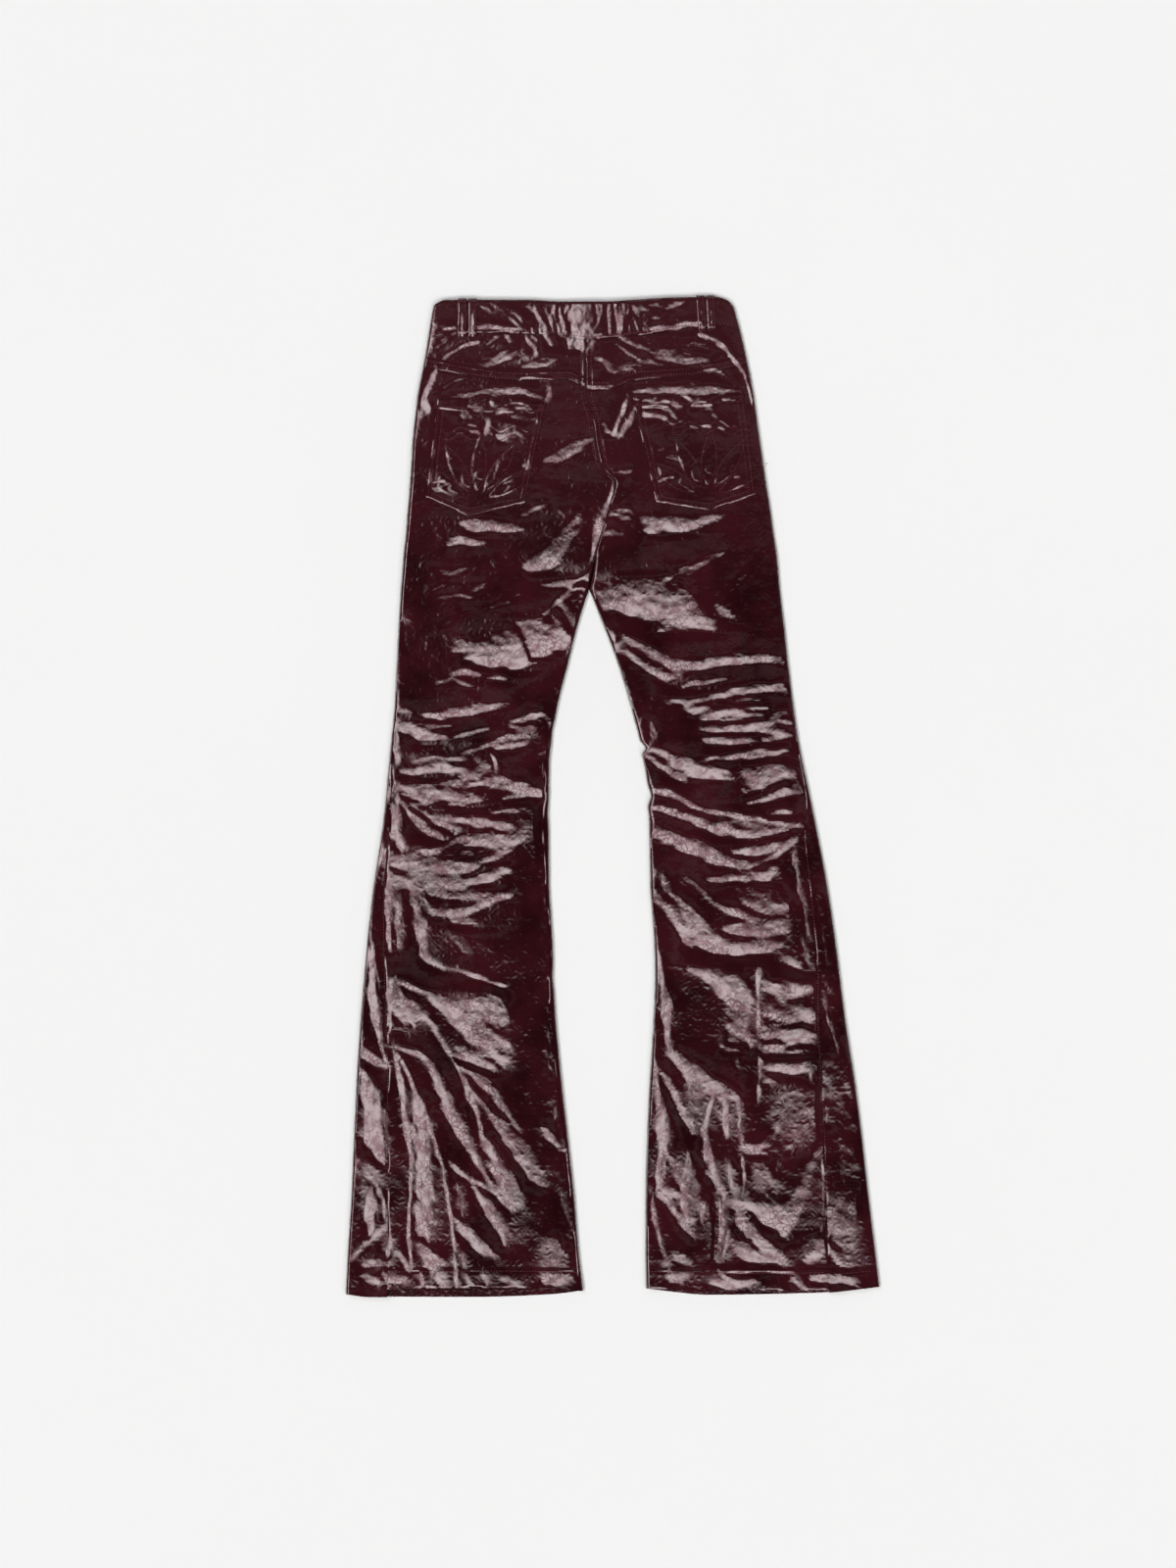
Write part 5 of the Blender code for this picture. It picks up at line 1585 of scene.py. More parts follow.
class Finishes:
    """Makes each finish's material once."""

    def __init__(self) -> None:
        """Builds the shared effects and then the materials."""
        self.crackle, self.cloudy, self.weave = crackle_effect(), cloudy_effect(), weave_effect()
        self.made = {Finish.PATENT: self._patent(PatentLeather())}
        self.made.update({finish: self._plain(finish, look) for finish, look in PLAIN.items()})

    def __getitem__(self, finish: Finish) -> Material:
        """The material of a finish."""
        return self.made[finish]

    @staticmethod
    def _begin(finish: Finish) -> tuple[Material, Tree]:
        """A new material and its tree.

        Args:
            finish: which one, for its name.

        Returns:
            Both.
        """
        material = bpy.data.materials.new(finish.value)
        material.use_nodes = True
        return material, material.node_tree

    @staticmethod
    def _set(tree: Tree, **values: object) -> None:
        """Feeds sockets of the Principled shader by name, with underscores for spaces.

        Args:
            tree: the material's.
            values: a socket or plain value for each.
        """
        shader = tree.nodes["Principled BSDF"]
        for name, value in values.items():
            feed(tree, shader.inputs[name.replace("_", " ")], value)

    @staticmethod
    def _placed(tree: Tree, effect: Tree, **values: object) -> bpy.types.bpy_prop_collection:
        """Outputs of a shared effect, placed in a material with its own values."""
        return node(tree, "Group", node_tree=effect, **values).outputs

    def _patent(self, look: PatentLeather) -> Material:
        """The lacquered leather.

        Args:
            look: its values.

        Returns:
            The material.
        """
        material, tree = self._begin(Finish.PATENT)
        tone = self._placed(tree, self.cloudy, Scale=look.cloud, Low=look.low, High=look.high)
        crackle = self._placed(tree, self.crackle)
        place = node(tree, "SeparateXYZ", Vector=node(tree, "TexCoord").outputs["Object"])
        # Painted light: a ramp up the garment mixes the base colour towards the paler colour at
        # the waist, for the brighter light on the hips.
        waist = ramp(tree, place.outputs["Y"], *look.painted_light_ramp)
        dull = look.roughness + look.dulling
        bump = node(
            tree, "Bump", Strength=1.0, Distance=look.relief, Height=crackle["Height"]
        ).outputs["Normal"]
        self._set(
            tree,
            Base_Color=mix_colours(tree, waist, tone["Color"], look.pale),
            Roughness=ramp(tree, crackle["Gloss"], 0.0, 1.0, dull, look.roughness),
            Coat_Weight=ramp(tree, crackle["Gloss"], 0.0, 1.0, 0.0, look.coat),
            IOR=look.ior, Specular_Tint=look.tint,
            Coat_IOR=look.coat_ior, Coat_Roughness=look.coat_roughness,
            Normal=bump, Coat_Normal=bump,
        )
        return material

    def _plain(self, finish: Finish, look: PlainFinish) -> Material:
        """A plain finish.

        Args:
            finish: which one.
            look: its values.

        Returns:
            The material.
        """
        material, tree = self._begin(finish)
        tone = self._placed(tree, self.cloudy, Scale=look.cloud, Low=look.low, High=look.high)
        least, most = look.roughness * 0.9, min(look.roughness * 1.15, 1.0)
        worn = ramp(tree, tone["Mask"], 0.0, 1.0, least, most)
        self._set(tree, Base_Color=tone["Color"], Roughness=worn, Metallic=look.metallic)
        if look.threads:
            weave = self._placed(tree, self.weave, Threads=look.threads)
            bump = node(tree, "Bump", Strength=0.6, Distance=look.relief, Height=weave["Height"])
            self._set(tree, Normal=bump.outputs["Normal"])
        return material


@dataclass
class Maker:
    """What every sub-assembly needs: the cloth's shape and the finishes."""

    cloth: Cloth
    finishes: Finishes

    def leather(
        self, name: str, wall: float, across: Array, along: Array, place: Place,
        mirrored: bool = False,
    ) -> Piece:
        """A sheet of leather with its backing, which takes the place of a solid.

        Args:
            name: the solid's name.
            wall: its wall in millimetres.
            across: position of each grid line across, from 0 to 1.
            along: position of each grid line up the garment, from 0 to 1.
            place: x, y and z in millimetres of its outer face.
            mirrored: whether the first positions run the other way round the cloth.

        Returns:
            The piece.
        """
        piece = sheet_mesh(f"leather_{name}", across, along, place, mirrored)
        thicken(piece, wall, self.finishes[Finish.PATENT], self.finishes[Finish.BACKING])
        turned_in = (HEM_LINE + HEM_TURN) * METRES
        for face in piece.data.polygons:
            if face.material_index and face.center[1] < turned_in:
                face.material_index = 0
        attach(piece, "root")
        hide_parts(name)
        LOG.info("%s: %d faces", piece.name, len(piece.data.polygons))
        return piece

    def stitches(self, name: str, rows: Sequence[Array], thread: Thread = Thread()) -> Piece:
        """Sews rows of stitches as one piece that rides with the garment.

        Args:
            name: what is sewn.
            rows: paths of x, y, z rows.
            thread: the stitches' sizes.

        Returns:
            The piece.
        """
        made = stitch_mesh(f"stitching_{name}", rows, thread, self.finishes[Finish.THREAD])
        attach(made, "root")
        LOG.info("%s: %d faces", made.name, len(made.data.polygons))
        return made


def lay_path(x: Array, y: Array, height: Surface, lift: float = THREAD_LIFT) -> Array:
    """Rows of x, y, z for a path laid on a surface."""
    return np.stack([x, y, height(x, y) + lift], axis=1)


def between(
    low: Sequence[Dot], high: Sequence[Dot], v: Array, gap: float = 0.0
) -> Callable[[Array], Array]:
    """y of rows as a function of x, shared out between two lines.

    Args:
        low: the seam below.
        high: the line above.
        v: share of the way up.
        gap: how far below the line above the last row stays.

    Returns:
        The function.
    """

    def row(x: Array) -> Array:
        """y at some x."""
        start = smooth(low, x) + SEAM_GAP / 2
        return start + v * (smooth(high, x) - gap - start)

    return row


def share_out(u: Array, parts: Sequence[int], stops: Sequence[Array | float]) -> Array:
    """Positions along a strip whose columns are shared out between stops.

    Args:
        u: the columns, from 0 to 1.
        parts: number of columns between each stop and the next.
        stops: the stops' positions.

    Returns:
        The positions.
    """
    knots = np.concatenate([[0], np.cumsum(parts)])
    column = u * knots[-1]
    found = stops[0]
    for knot, part, low, high in zip(knots, parts, stops, stops[1:]):
        found = found + np.clip((column - knot) / part, 0, 1) * (high - low)
    return found


@dataclass
class Halves(Maker):
    """A pair of leather pieces, one to each side, each with its stitches."""

    kind: ClassVar[str]
    flat: ClassVar[tuple[float, float]]
    areas: ClassVar[dict[Side, float]]
    on_front: ClassVar[bool] = True

    def build(self) -> None:
        """Both pieces and their stitches."""
        for side in Side:
            name = f"{self.kind}_{side.word}"
            panel = self.panel(side, name)
            sewn = self.stitches(name, self.sewing(side))
            [f"front_{side.word}"] if self.on_front else []

    def panel(self, side: Side, name: str) -> Piece:
        """One of the two."""
        raise NotImplementedError

    def sewing(self, side: Side) -> list[Array]:
        """Paths of its stitches."""
        raise NotImplementedError


@dataclass
class Legs(Halves):
    """A pair of leg panels that end in the turned hem."""

    hems: ClassVar[dict[Side, Sequence[Dot]]]
    seam: ClassVar[Sequence[Dot]]
    line: ClassVar[float]
    cell: ClassVar[float]
    across: ClassVar[Array]
    seam_roll: float = 0.6
    end_roll: float = 0.0
    hem_step: float = 0.5
    hem_slope: float = 2.2
    hem_pull: float = 0.35
    hem_inset: float = 1.0

    def section(self, side: Side, u: Array) -> Callable[[Array], tuple[Array, Array]]:
        """x and z of the panel's columns as a function of y."""
        raise NotImplementedError

    def height(self, x: Array, y: Array) -> Array:
        """The cloth's height with the hem's step and the dip of its stitches.

        Args:
            x: x of the points.
            y: y of the points.

        Returns:
            The heights.
        """
        up = y - HEM_LINE - HEM_TURN
        step = self.hem_step * (1 - ease(up / self.hem_slope))
        pull = self.hem_pull * self.cloth.roll(x, y) * dip(up + self.hem_inset, 1.2)
        return self.cloth.top(x, y) + step - pull

    def levels(self) -> Array:
        """Nominal heights of the rows, close at the ends and round the hem's stitches.

        Returns:
            The heights.
        """
        low = HEM_LINE + HEM_TURN
        hem = HEM_LINE + marks(HEM_TURN, 1.6, 0.6, 0.9) * HEM_TURN
        rest = low + marks(self.line - low, self.cell, 0.9, 0.7) * (self.line - low)
        return np.concatenate([hem, rest[1:]])

    def rows(self, side: Side, level: Array, gap: float = 0.0) -> Callable[[Array], Array]:
        """y of rows as a function of x, so that the end rows follow the hem and the seam.

        Args:
            side: which leg.
            level: nominal heights.
            gap: how far below the seam the last row stays.

        Returns:
            The function.
        """
        low = np.clip((HEM_LINE + HEM_BLEND - level) / HEM_BLEND, 0, 1)
        high = np.clip((level - self.line + YOKE_BLEND) / YOKE_BLEND, 0, 1)

        def row(x: Array) -> Array:
            """y at some x."""
            sunk = low * (smooth(self.hems[side], x) - HEM_LINE)
            return level + sunk + high * (smooth(self.seam, x) - gap - self.line)

        return row

    def panel(self, side: Side, name: str) -> Piece:
        """One leg panel.

        Args:
            side: which leg.
            name: its solid's name.

        Returns:
            The panel.
        """
        levels = self.levels()

        def place(u: Array, v: Array) -> tuple[Array, Array, Array]:
            """Points of the panel.

            Args:
                u: positions across, from 0 to 1.
                v: positions up, from 0 to 1.

            Returns:
                x, y and z in millimetres.
            """
            level = np.broadcast_to(levels[:, None], u.shape)
            row = self.rows(side, level, SEAM_GAP / 2)
            x, y, z = self.cloth.settle(self.section(side, u), row, level)
            down = np.minimum(level - levels[0], levels[-1] - level)
            return x, y, z - self.end_roll * self.cloth.roll(x, y) * dip(down, 1.0)

        along = (levels - levels[0]) / (levels[-1] - levels[0])
        return self.leather(name, WALL, self.across, along, place, side is Side.LEFT)

    def hem_path(self, side: Side, first: float, last: float, count: int) -> Array:
        """Path of the hem's stitches from one x to another.

        Args:
            side: which leg.
            first: where it begins.
            last: where it ends.
            count: number of its points.

        Returns:
            The path.
        """
        x = np.linspace(first, last, count)
        level = np.full(count, HEM_LINE + HEM_TURN - self.hem_inset)
        return lay_path(x, self.rows(side, level)(x), self.height)

    def hem_edges(self, side: Side) -> tuple[float, float, float]:
        """x of the inner and outer edge at the hem's stitches, and the side seam's inset."""
        lines, y = self.cloth.lines, np.array([HEM_LINE + HEM_TURN - self.hem_inset])
        return lines.inner(side, y)[0], lines.outer(side, y)[0], lines.side_seam(side, y)[0]


@dataclass
class BackLegs(Legs):
    """The two back leg panels, from the yoke seam to the hem, with their sewing."""

    kind = "back"
    flat = (0.272, 1.020)
    areas = {Side.LEFT: 0.2036, Side.RIGHT: 0.1996}
    hems, seam, line, cell = BACK_HEM, YOKE_SEAM, YOKE_LINE, CLOTH_CELL
    across = marks(212.0, CLOTH_CELL)
    end_roll: float = 0.6
    stitch_inset: float = 5.5

    def height(self, x: Array, y: Array) -> Array:
        """The cloth's height with its hem, and the dip of the centre seam's stitches.

        Args:
            x: x of the points.
            y: y of the points.

        Returns:
            The heights.
        """
        centre = self.cloth.lines.inner(Side.LEFT, y)
        drawn = np.where(y > CROTCH + 40, 0.08 + 0.25 * self.cloth.roll(x, y), 0.0)
        return super().height(x, y) - drawn * dip(np.abs(x - centre) - self.stitch_inset, 1.0)

    def section(self, side: Side, u: Array) -> Callable[[Array], tuple[Array, Array]]:
        """x and z of the panel's columns, over the top from the inseam to the side seam.

        Args:
            side: which leg.
            u: the columns, from 0 to 1.

        Returns:
            The function.
        """
        cloth, lines = self.cloth, self.cloth.lines

        def on_top(y: Array) -> tuple[Array, Array]:
            """x and z of the columns.

            Args:
                y: heights up the garment.

            Returns:
                Both, in millimetres.
            """
            low = lines.inseam(side, y) + SEAM_GAP / 2 * lines.closing(y)
            high = cloth.top_length(side, y) - lines.side_seam(side, y) - SEAM_GAP / 2
            p = low + u * (high - low)
            x, z = cloth.round(side, p, y, self.height)
            edge = np.minimum(p - low, high - p)
            return x, z - self.seam_roll * cloth.roll(x, y) * dip(edge, 0.8)

        return on_top

    def sewing(self, side: Side) -> list[Array]:
        """Paths of the hem's stitches and of the row beside the centre seam.

        Args:
            side: which leg.

        Returns:
            The paths.
        """
        inner, outer, seam = self.hem_edges(side)
        y = np.linspace(366.0, 454.0, 90)
        beside = self.cloth.lines.inner(side, y) + side.value * self.stitch_inset
        return [
            self.hem_path(side, inner + side.value * 6, outer - side.value * (seam + 2), 160),
            lay_path(beside, y, self.height),
        ]


@dataclass
class FrontLegs(Legs):
    """The two front leg panels, flat on the floor, with both edges turned up round the leg."""

    kind = "front"
    flat = (0.352, 1.078)
    areas = {Side.LEFT: 0.2590, Side.RIGHT: 0.2543}
    on_front = False
    hems, seam, line, cell = FRONT_HEM, FRONT_WAIST_SEAM, FRONT_WAIST, FRONT_CELL
    columns = (22, 14, 30, 16)
    across = np.linspace(0, 1, sum(columns) + 1)
    stitch_inset: float = 3.5

    def under(self, x: Array, y: Array) -> Array:
        """Shallow hollows where the underside isn't pressed against the floor."""
        turned = self.cloth.creases.at(-0.86 * x - 4.0, 0.93 * y + 9.0)
        return np.clip(0.28 * turned - 0.12, 0.0, 0.7)

    def section(self, side: Side, u: Array) -> Callable[[Array], tuple[Array, Array]]:
        """x and z of the columns, from the side seam round the underside to the inseam.

        Args:
            side: which leg.
            u: the columns, from 0 to 1.

        Returns:
            The function.
        """
        cloth, lines = self.cloth, self.cloth.lines

        def around(y: Array) -> tuple[Array, Array]:
            """x and z of the columns.

            Args:
                y: heights up the garment.

            Returns:
                Both, in millimetres.
            """
            seam = lines.side_seam(side, y)
            total = cloth.top_length(side, y, True)
            start = -seam + SEAM_GAP / 2
            end = total + lines.inseam(side, y) - SEAM_GAP / 2 * lines.closing(y)
            edge = -np.minimum(EDGE_ARC, 0.6 * seam)
            q = share_out(u, self.columns, (start, edge, EDGE_ARC, total - EDGE_ARC, end))
            x, z = cloth.round(side, q, y, self.height, True, self.under)
            inset = np.minimum(q - start, np.where(lines.closing(y) > 0.5, end - q, 50.0))
            return x, z - self.seam_roll * cloth.roll(x, y) * dip(inset, 0.8) * (z > 3)

        return around

    def sewing(self, side: Side) -> list[Array]:
        """Paths of the row beside the side seam, and of the hem's on the strip that shows.

        Args:
            side: which leg.

        Returns:
            The paths.
        """
        lines = self.cloth.lines
        y = np.linspace(-500.0, -40.0, 500)
        inset = lines.side_seam(side, y) - self.stitch_inset
        _, outer, seam = self.hem_edges(side)
        return [
            lay_path(lines.outer(side, y) - side.value * inset, y, self.height),
            self.hem_path(side, outer - side.value * (seam - 2), outer - side.value * 8, 60),
        ]


@dataclass
class Yokes(Halves):
    """The two back yokes between the leg panels and the waistband."""

    kind = "yoke"
    flat = (0.192, 0.062)
    areas = {Side.LEFT: 0.0092, Side.RIGHT: 0.0096}
    sewn = {Side.LEFT: (-38.0, -205.0), Side.RIGHT: (-23.0, 146.0)}
    wide: float = 185.0
    tall: float = 50.0
    felled: float = 9.5
    felled_rise: float = 0.8
    seam_roll: float = 0.9
    stitch_inset: float = 5.5

    def height(self, x: Array, y: Array) -> Array:
        """The cloth's height with the doubled strip along the yoke seam.

        Args:
            x: x of the points.
            y: y of the points.

        Returns:
            The heights.
        """
        up = y - smooth(YOKE_SEAM, x)
        strip = self.felled_rise * (1 - ease((up - self.felled) / 1.8))
        drawn = 0.1 + 0.3 * self.cloth.roll(x, y)
        rows = dip(up - 1.9, 0.8) + dip(up - self.felled + 1.6, 0.8)
        centre = np.abs(x - self.cloth.lines.inner(Side.LEFT, y))
        beside = dip(centre - self.stitch_inset, 1.0)
        return self.cloth.top(x, y) + strip - drawn * (rows + beside)

    def panel(self, side: Side, name: str) -> Piece:
        """One yoke.

        Args:
            side: which half.
            name: its solid's name.

        Returns:
            The yoke.
        """
        cloth = self.cloth

        def place(u: Array, v: Array) -> tuple[Array, Array, Array]:
            """Points of the yoke.

            Args:
                u: positions across, from 0 to 1.
                v: positions up, from 0 to 1.

            Returns:
                x, y and z in millimetres.
            """

            def on_top(y: Array) -> tuple[Array, Array]:
                """x and z of the columns.

                Args:
                    y: heights up the garment.

                Returns:
                    Both, in millimetres.
                """
                high = cloth.top_length(side, y) - LEAST_SEAM - SEAM_GAP / 2
                p = u * high
                x, z = cloth.round(side, p, y, self.height)
                return x, z - self.seam_roll * cloth.roll(x, y) * dip(np.minimum(p, high - p), 0.9)

            row = between(YOKE_SEAM, WAIST_SEAM, v, SEAM_GAP / 2)
            x, y, z = cloth.settle(on_top, row, np.full(u.shape, YOKE_LINE + 20))
            near = np.minimum(v * self.tall, (1 - v) * self.tall)
            return x, y, z - self.seam_roll * cloth.roll(x, y) * dip(near, 0.8)

        across, along = marks(self.wide, 1.6), marks(self.tall, 1.5)
        return self.leather(name, WALL, across, along, place, side is Side.LEFT)

    def sewing(self, side: Side) -> list[Array]:
        """Paths of the two rows along the yoke seam, and of one beside the centre seam.

        Args:
            side: which half.

        Returns:
            The paths.
        """
        x = np.linspace(*self.sewn[side], 200)
        y = np.linspace(470.0, 510.0, 40)
        beside = self.cloth.lines.inner(side, y) + side.value * self.stitch_inset
        return [
            lay_path(x, smooth(YOKE_SEAM, x) + up, self.height) for up in (1.9, self.felled - 1.6)
        ] + [lay_path(beside, y, self.height)]


@dataclass
class Waistband(Maker):
    """The doubled waistband: one strip at the back and two at the front."""

    columns = (2, 8, 24, 3)
    areas = {Side.LEFT: 0.00763, Side.RIGHT: 0.00692}
    wide: float = 350.0
    tall: float = 40.0
    seam_roll: float = 1.0
    edge_roll: float = 1.6
    stitch_up: float = 3.2
    pucker: float = 3.8
    sewn: tuple[tuple[float, float, int], ...] = (
        (-197.0, -176.0, 20), (-150.0, 94.0, 240), (119.0, 136.0, 20),
    )
    thread: Thread = Thread(pitch=3.6, length=2.9, width=0.9, height=0.7)

    def height(self, x: Array, y: Array) -> Array:
        """Height of the band's outer face, dipped along its seam's stitches and its upper edge.

        Args:
            x: x of the points.
            y: y of the points.

        Returns:
            The heights.
        """
        up = y - smooth(WAIST_SEAM, x)
        holes = 0.5 + 0.5 * np.cos(2 * math.pi * x / self.pucker)
        pulled = dip(up - self.stitch_up, 0.9) + 1.4 * holes * dip(up - 4.4, 1.8)
        drawn = 0.15 * (0.3 + 0.7 * self.cloth.roll(x, y)) * pulled
        edge = smooth(WAIST_EDGE, x) - y
        return self.cloth.band_top(x, y) - drawn - self.edge_roll * dip(edge, 1.8)

    def build(self) -> None:
        """The three strips and their stitches."""
        back = self._back()
        runs = [np.linspace(*run) for run in self.sewn]
        rows = [
            lay_path(x, smooth(WAIST_SEAM, x) + self.stitch_up, self.height, 2 * THREAD_LIFT)
            for x in runs
        ]
        [f"waistband_front_{side.word}" for side in Side]
        self.stitches("waistband", rows, self.thread)
        for side in Side:
            self._front(side)

    def _back(self) -> Piece:
        """The strip over the top, round both edges to the side seams.

        Returns:
            The strip.
        """
        cloth, lines = self.cloth, self.cloth.lines

        def place(u: Array, v: Array) -> tuple[Array, Array, Array]:
            """Points of the strip.

            Args:
                u: positions across, from 0 to 1.
                v: positions up, from 0 to 1.

            Returns:
                x, y and z in millimetres.
            """

            def over(y: Array) -> tuple[Array, Array]:
                """x and z of the columns.

                Args:
                    y: heights up the garment.

                Returns:
                    Both, in millimetres.
                """
                west, east = lines.outer(Side.LEFT, y), lines.outer(Side.RIGHT, y)
                total = east - west - 2 * EDGE_RADIUS + 2 * EDGE_ARC
                inset = LEAST_SEAM + SEAM_GAP / 2
                b = inset + u * (total - 2 * inset)
                near = np.minimum(b, total - b)
                turn = np.clip(near / EDGE_ARC, 0, 1) * math.pi / 2
                bent = EDGE_RADIUS * (1 - np.cos(turn))
                inward = np.where(near > EDGE_ARC, EDGE_RADIUS + near - EDGE_ARC, bent)
                x = np.where(b < total / 2, west + inward, east - inward)
                return x, EDGE_MIDDLE + np.sin(turn) * (self.height(x, y) - EDGE_MIDDLE)

            row = between(WAIST_SEAM, WAIST_EDGE, v)
            x, y, z = cloth.settle(over, row, np.full(u.shape, BAND_MIDDLE))
            return x, y, z - self.seam_roll * cloth.roll(x, y) * dip(v * self.tall, 0.9)

        across, along = marks(self.wide, 1.25), marks(self.tall, 1.3)
        return self.leather("waistband_back", BAND_WALL, across, along, place)

    def _front(self, side: Side) -> Piece:
        """A strip flat on the floor, from the side seam to the opening.

        Args:
            side: which half.

        Returns:
            The strip.
        """
        cloth = self.cloth

        def place(u: Array, v: Array) -> tuple[Array, Array, Array]:
            """Points of the strip.

            Args:
                u: positions across, from 0 to 1.
                v: positions up, from 0 to 1.

            Returns:
                x, y and z in millimetres.
            """

            def around(y: Array) -> tuple[Array, Array]:
                """x and z of the columns.

                Args:
                    y: heights up the garment.

                Returns:
                    Both, in millimetres.
                """
                total = cloth.top_length(side, y, True)
                start, edge = -LEAST_SEAM + SEAM_GAP / 2, -0.6 * LEAST_SEAM
                q = share_out(u, self.columns, (start, edge, EDGE_ARC, total - EDGE_ARC, total))
                return cloth.round(side, q, y, self.height, True)

            row = between(FRONT_WAIST_SEAM, WAIST_EDGE, v)
            return cloth.settle(around, row, np.full(u.shape, BAND_MIDDLE))

        across, along = np.linspace(0, 1, sum(self.columns) + 1), marks(38.0, 3.0)
        name = f"waistband_front_{side.word}"
        return self.leather(name, BAND_WALL, across, along, place, side is Side.LEFT)


class Loop(NamedTuple):
    """A belt loop: its name, x of its long sides at the band's seam, and its lean to the left."""

    name: str
    left: float
    right: float
    lean: float


@dataclass
class BeltLoops(Maker):
    """Belt loops that lie on the waistband, from below its seam to just over its edge."""

    below: float = 4.5
    over: float = 2.2
    bend: float = 4.0
    arch: float = 0.6
    ridge: float = 0.34
    thread: Thread = Thread(pitch=2.4, length=1.9, width=0.6, height=0.5)
    loops: tuple[Loop, ...] = (
        Loop("belt_loop_1", -173.5, -163.8, 0.0),
        Loop("belt_loop_2", -161.6, -152.0, 0.0),
        Loop("belt_loop_3", 96.5, 105.6, 3.0),
        Loop("belt_loop_4", 107.4, 117.0, 3.0),
    )

    def build(self) -> None:
        """The loops and their stitches."""
        band = Waistband(self.cloth, self.finishes)
        across, along = marks(9.6, 0.8, 0.4, 0.4), marks(50.0, 1.2)
        t, s = np.linspace(0.04, 0.9, 60), np.linspace(0.08, 0.92, 20)
        rows = []
        for loop in self.loops:
            surface = self._surface(loop, band)
            strip = self.leather(loop.name, LOOP_WALL, across, along, surface)
            lengthwise = [(np.full_like(t, aside), t) for aside in (0.2, 0.8)]
            crosswise = [(s, np.full_like(s, end)) for end in (0.05, 0.93)]
            rows += [np.stack(surface(*path), axis=1) for path in lengthwise + crosswise]
        self.stitches("belt_loops", rows, self.thread)

    def _surface(self, loop: Loop, band: Waistband) -> Place:
        """The loop's outer face.

        Args:
            loop: which loop.
            band: the waistband that it lies on.

        Returns:
            x, y and z for positions across and along it.
        """
        low = float(smooth(WAIST_SEAM, loop.left)) - self.below
        edge = float(smooth(WAIST_EDGE, loop.left)) - 0.8
        top = float(smooth(WAIST_EDGE, loop.right)) + self.over
        start = top - self.bend

        def place(u: Array, v: Array) -> tuple[Array, Array, Array]:
            """Points of the face.

            Args:
                u: positions across, from 0 to 1.
                v: positions up, from 0 to 1.

            Returns:
                x, y and z in millimetres.
            """
            run = v * (top - low + 5.0)
            over = np.clip((run - (start - low)) / 9.0, 0, 1) * math.pi / 2
            y = np.where(over > 0, start + self.bend * np.sin(over), low + run)
            x = loop.left + u * (loop.right - loop.left) - loop.lean * (y - low) / 50
            under = np.minimum(y, edge)
            middle = np.full_like(x, (loop.left + loop.right) / 2)
            base = np.maximum(band.height(x, under), band.height(middle, under) - 0.6)
            rise = self.arch * np.sin(math.pi * np.clip((y - low) / 40, 0, 1)) ** 0.8
            lower = 1 - ease((y - low - 20) / 9)
            ridges = self.ridge * (ease((u - 0.3) / 0.36) - ease((u - 0.68) / 0.3)) * lower
            pinch = 0.5 * dip(v - 0.05, 0.03)
            z = base + SEAM_GAP + LOOP_WALL + rise + ridges - pinch - 5.5 * (1 - np.cos(over))
            return x, y, z - 0.25 * dip(np.minimum(u, 1 - u), 0.05)

        return place


class Patch(NamedTuple):
    """A patch pocket: its side and its five corners from the upper left round the tip."""

    side: Side
    corners: tuple[Dot, Dot, Dot, Dot, Dot]

    @property
    def name(self) -> str:
        """The pocket's name."""
        return f"pocket_{self.side.word}"

    @property
    def tip(self) -> Dot:
        """Where its motif is measured from: its tip's y, midway between its lower corners."""
        return Dot((self.corners[1].x + self.corners[3].x) / 2, self.corners[2].y)


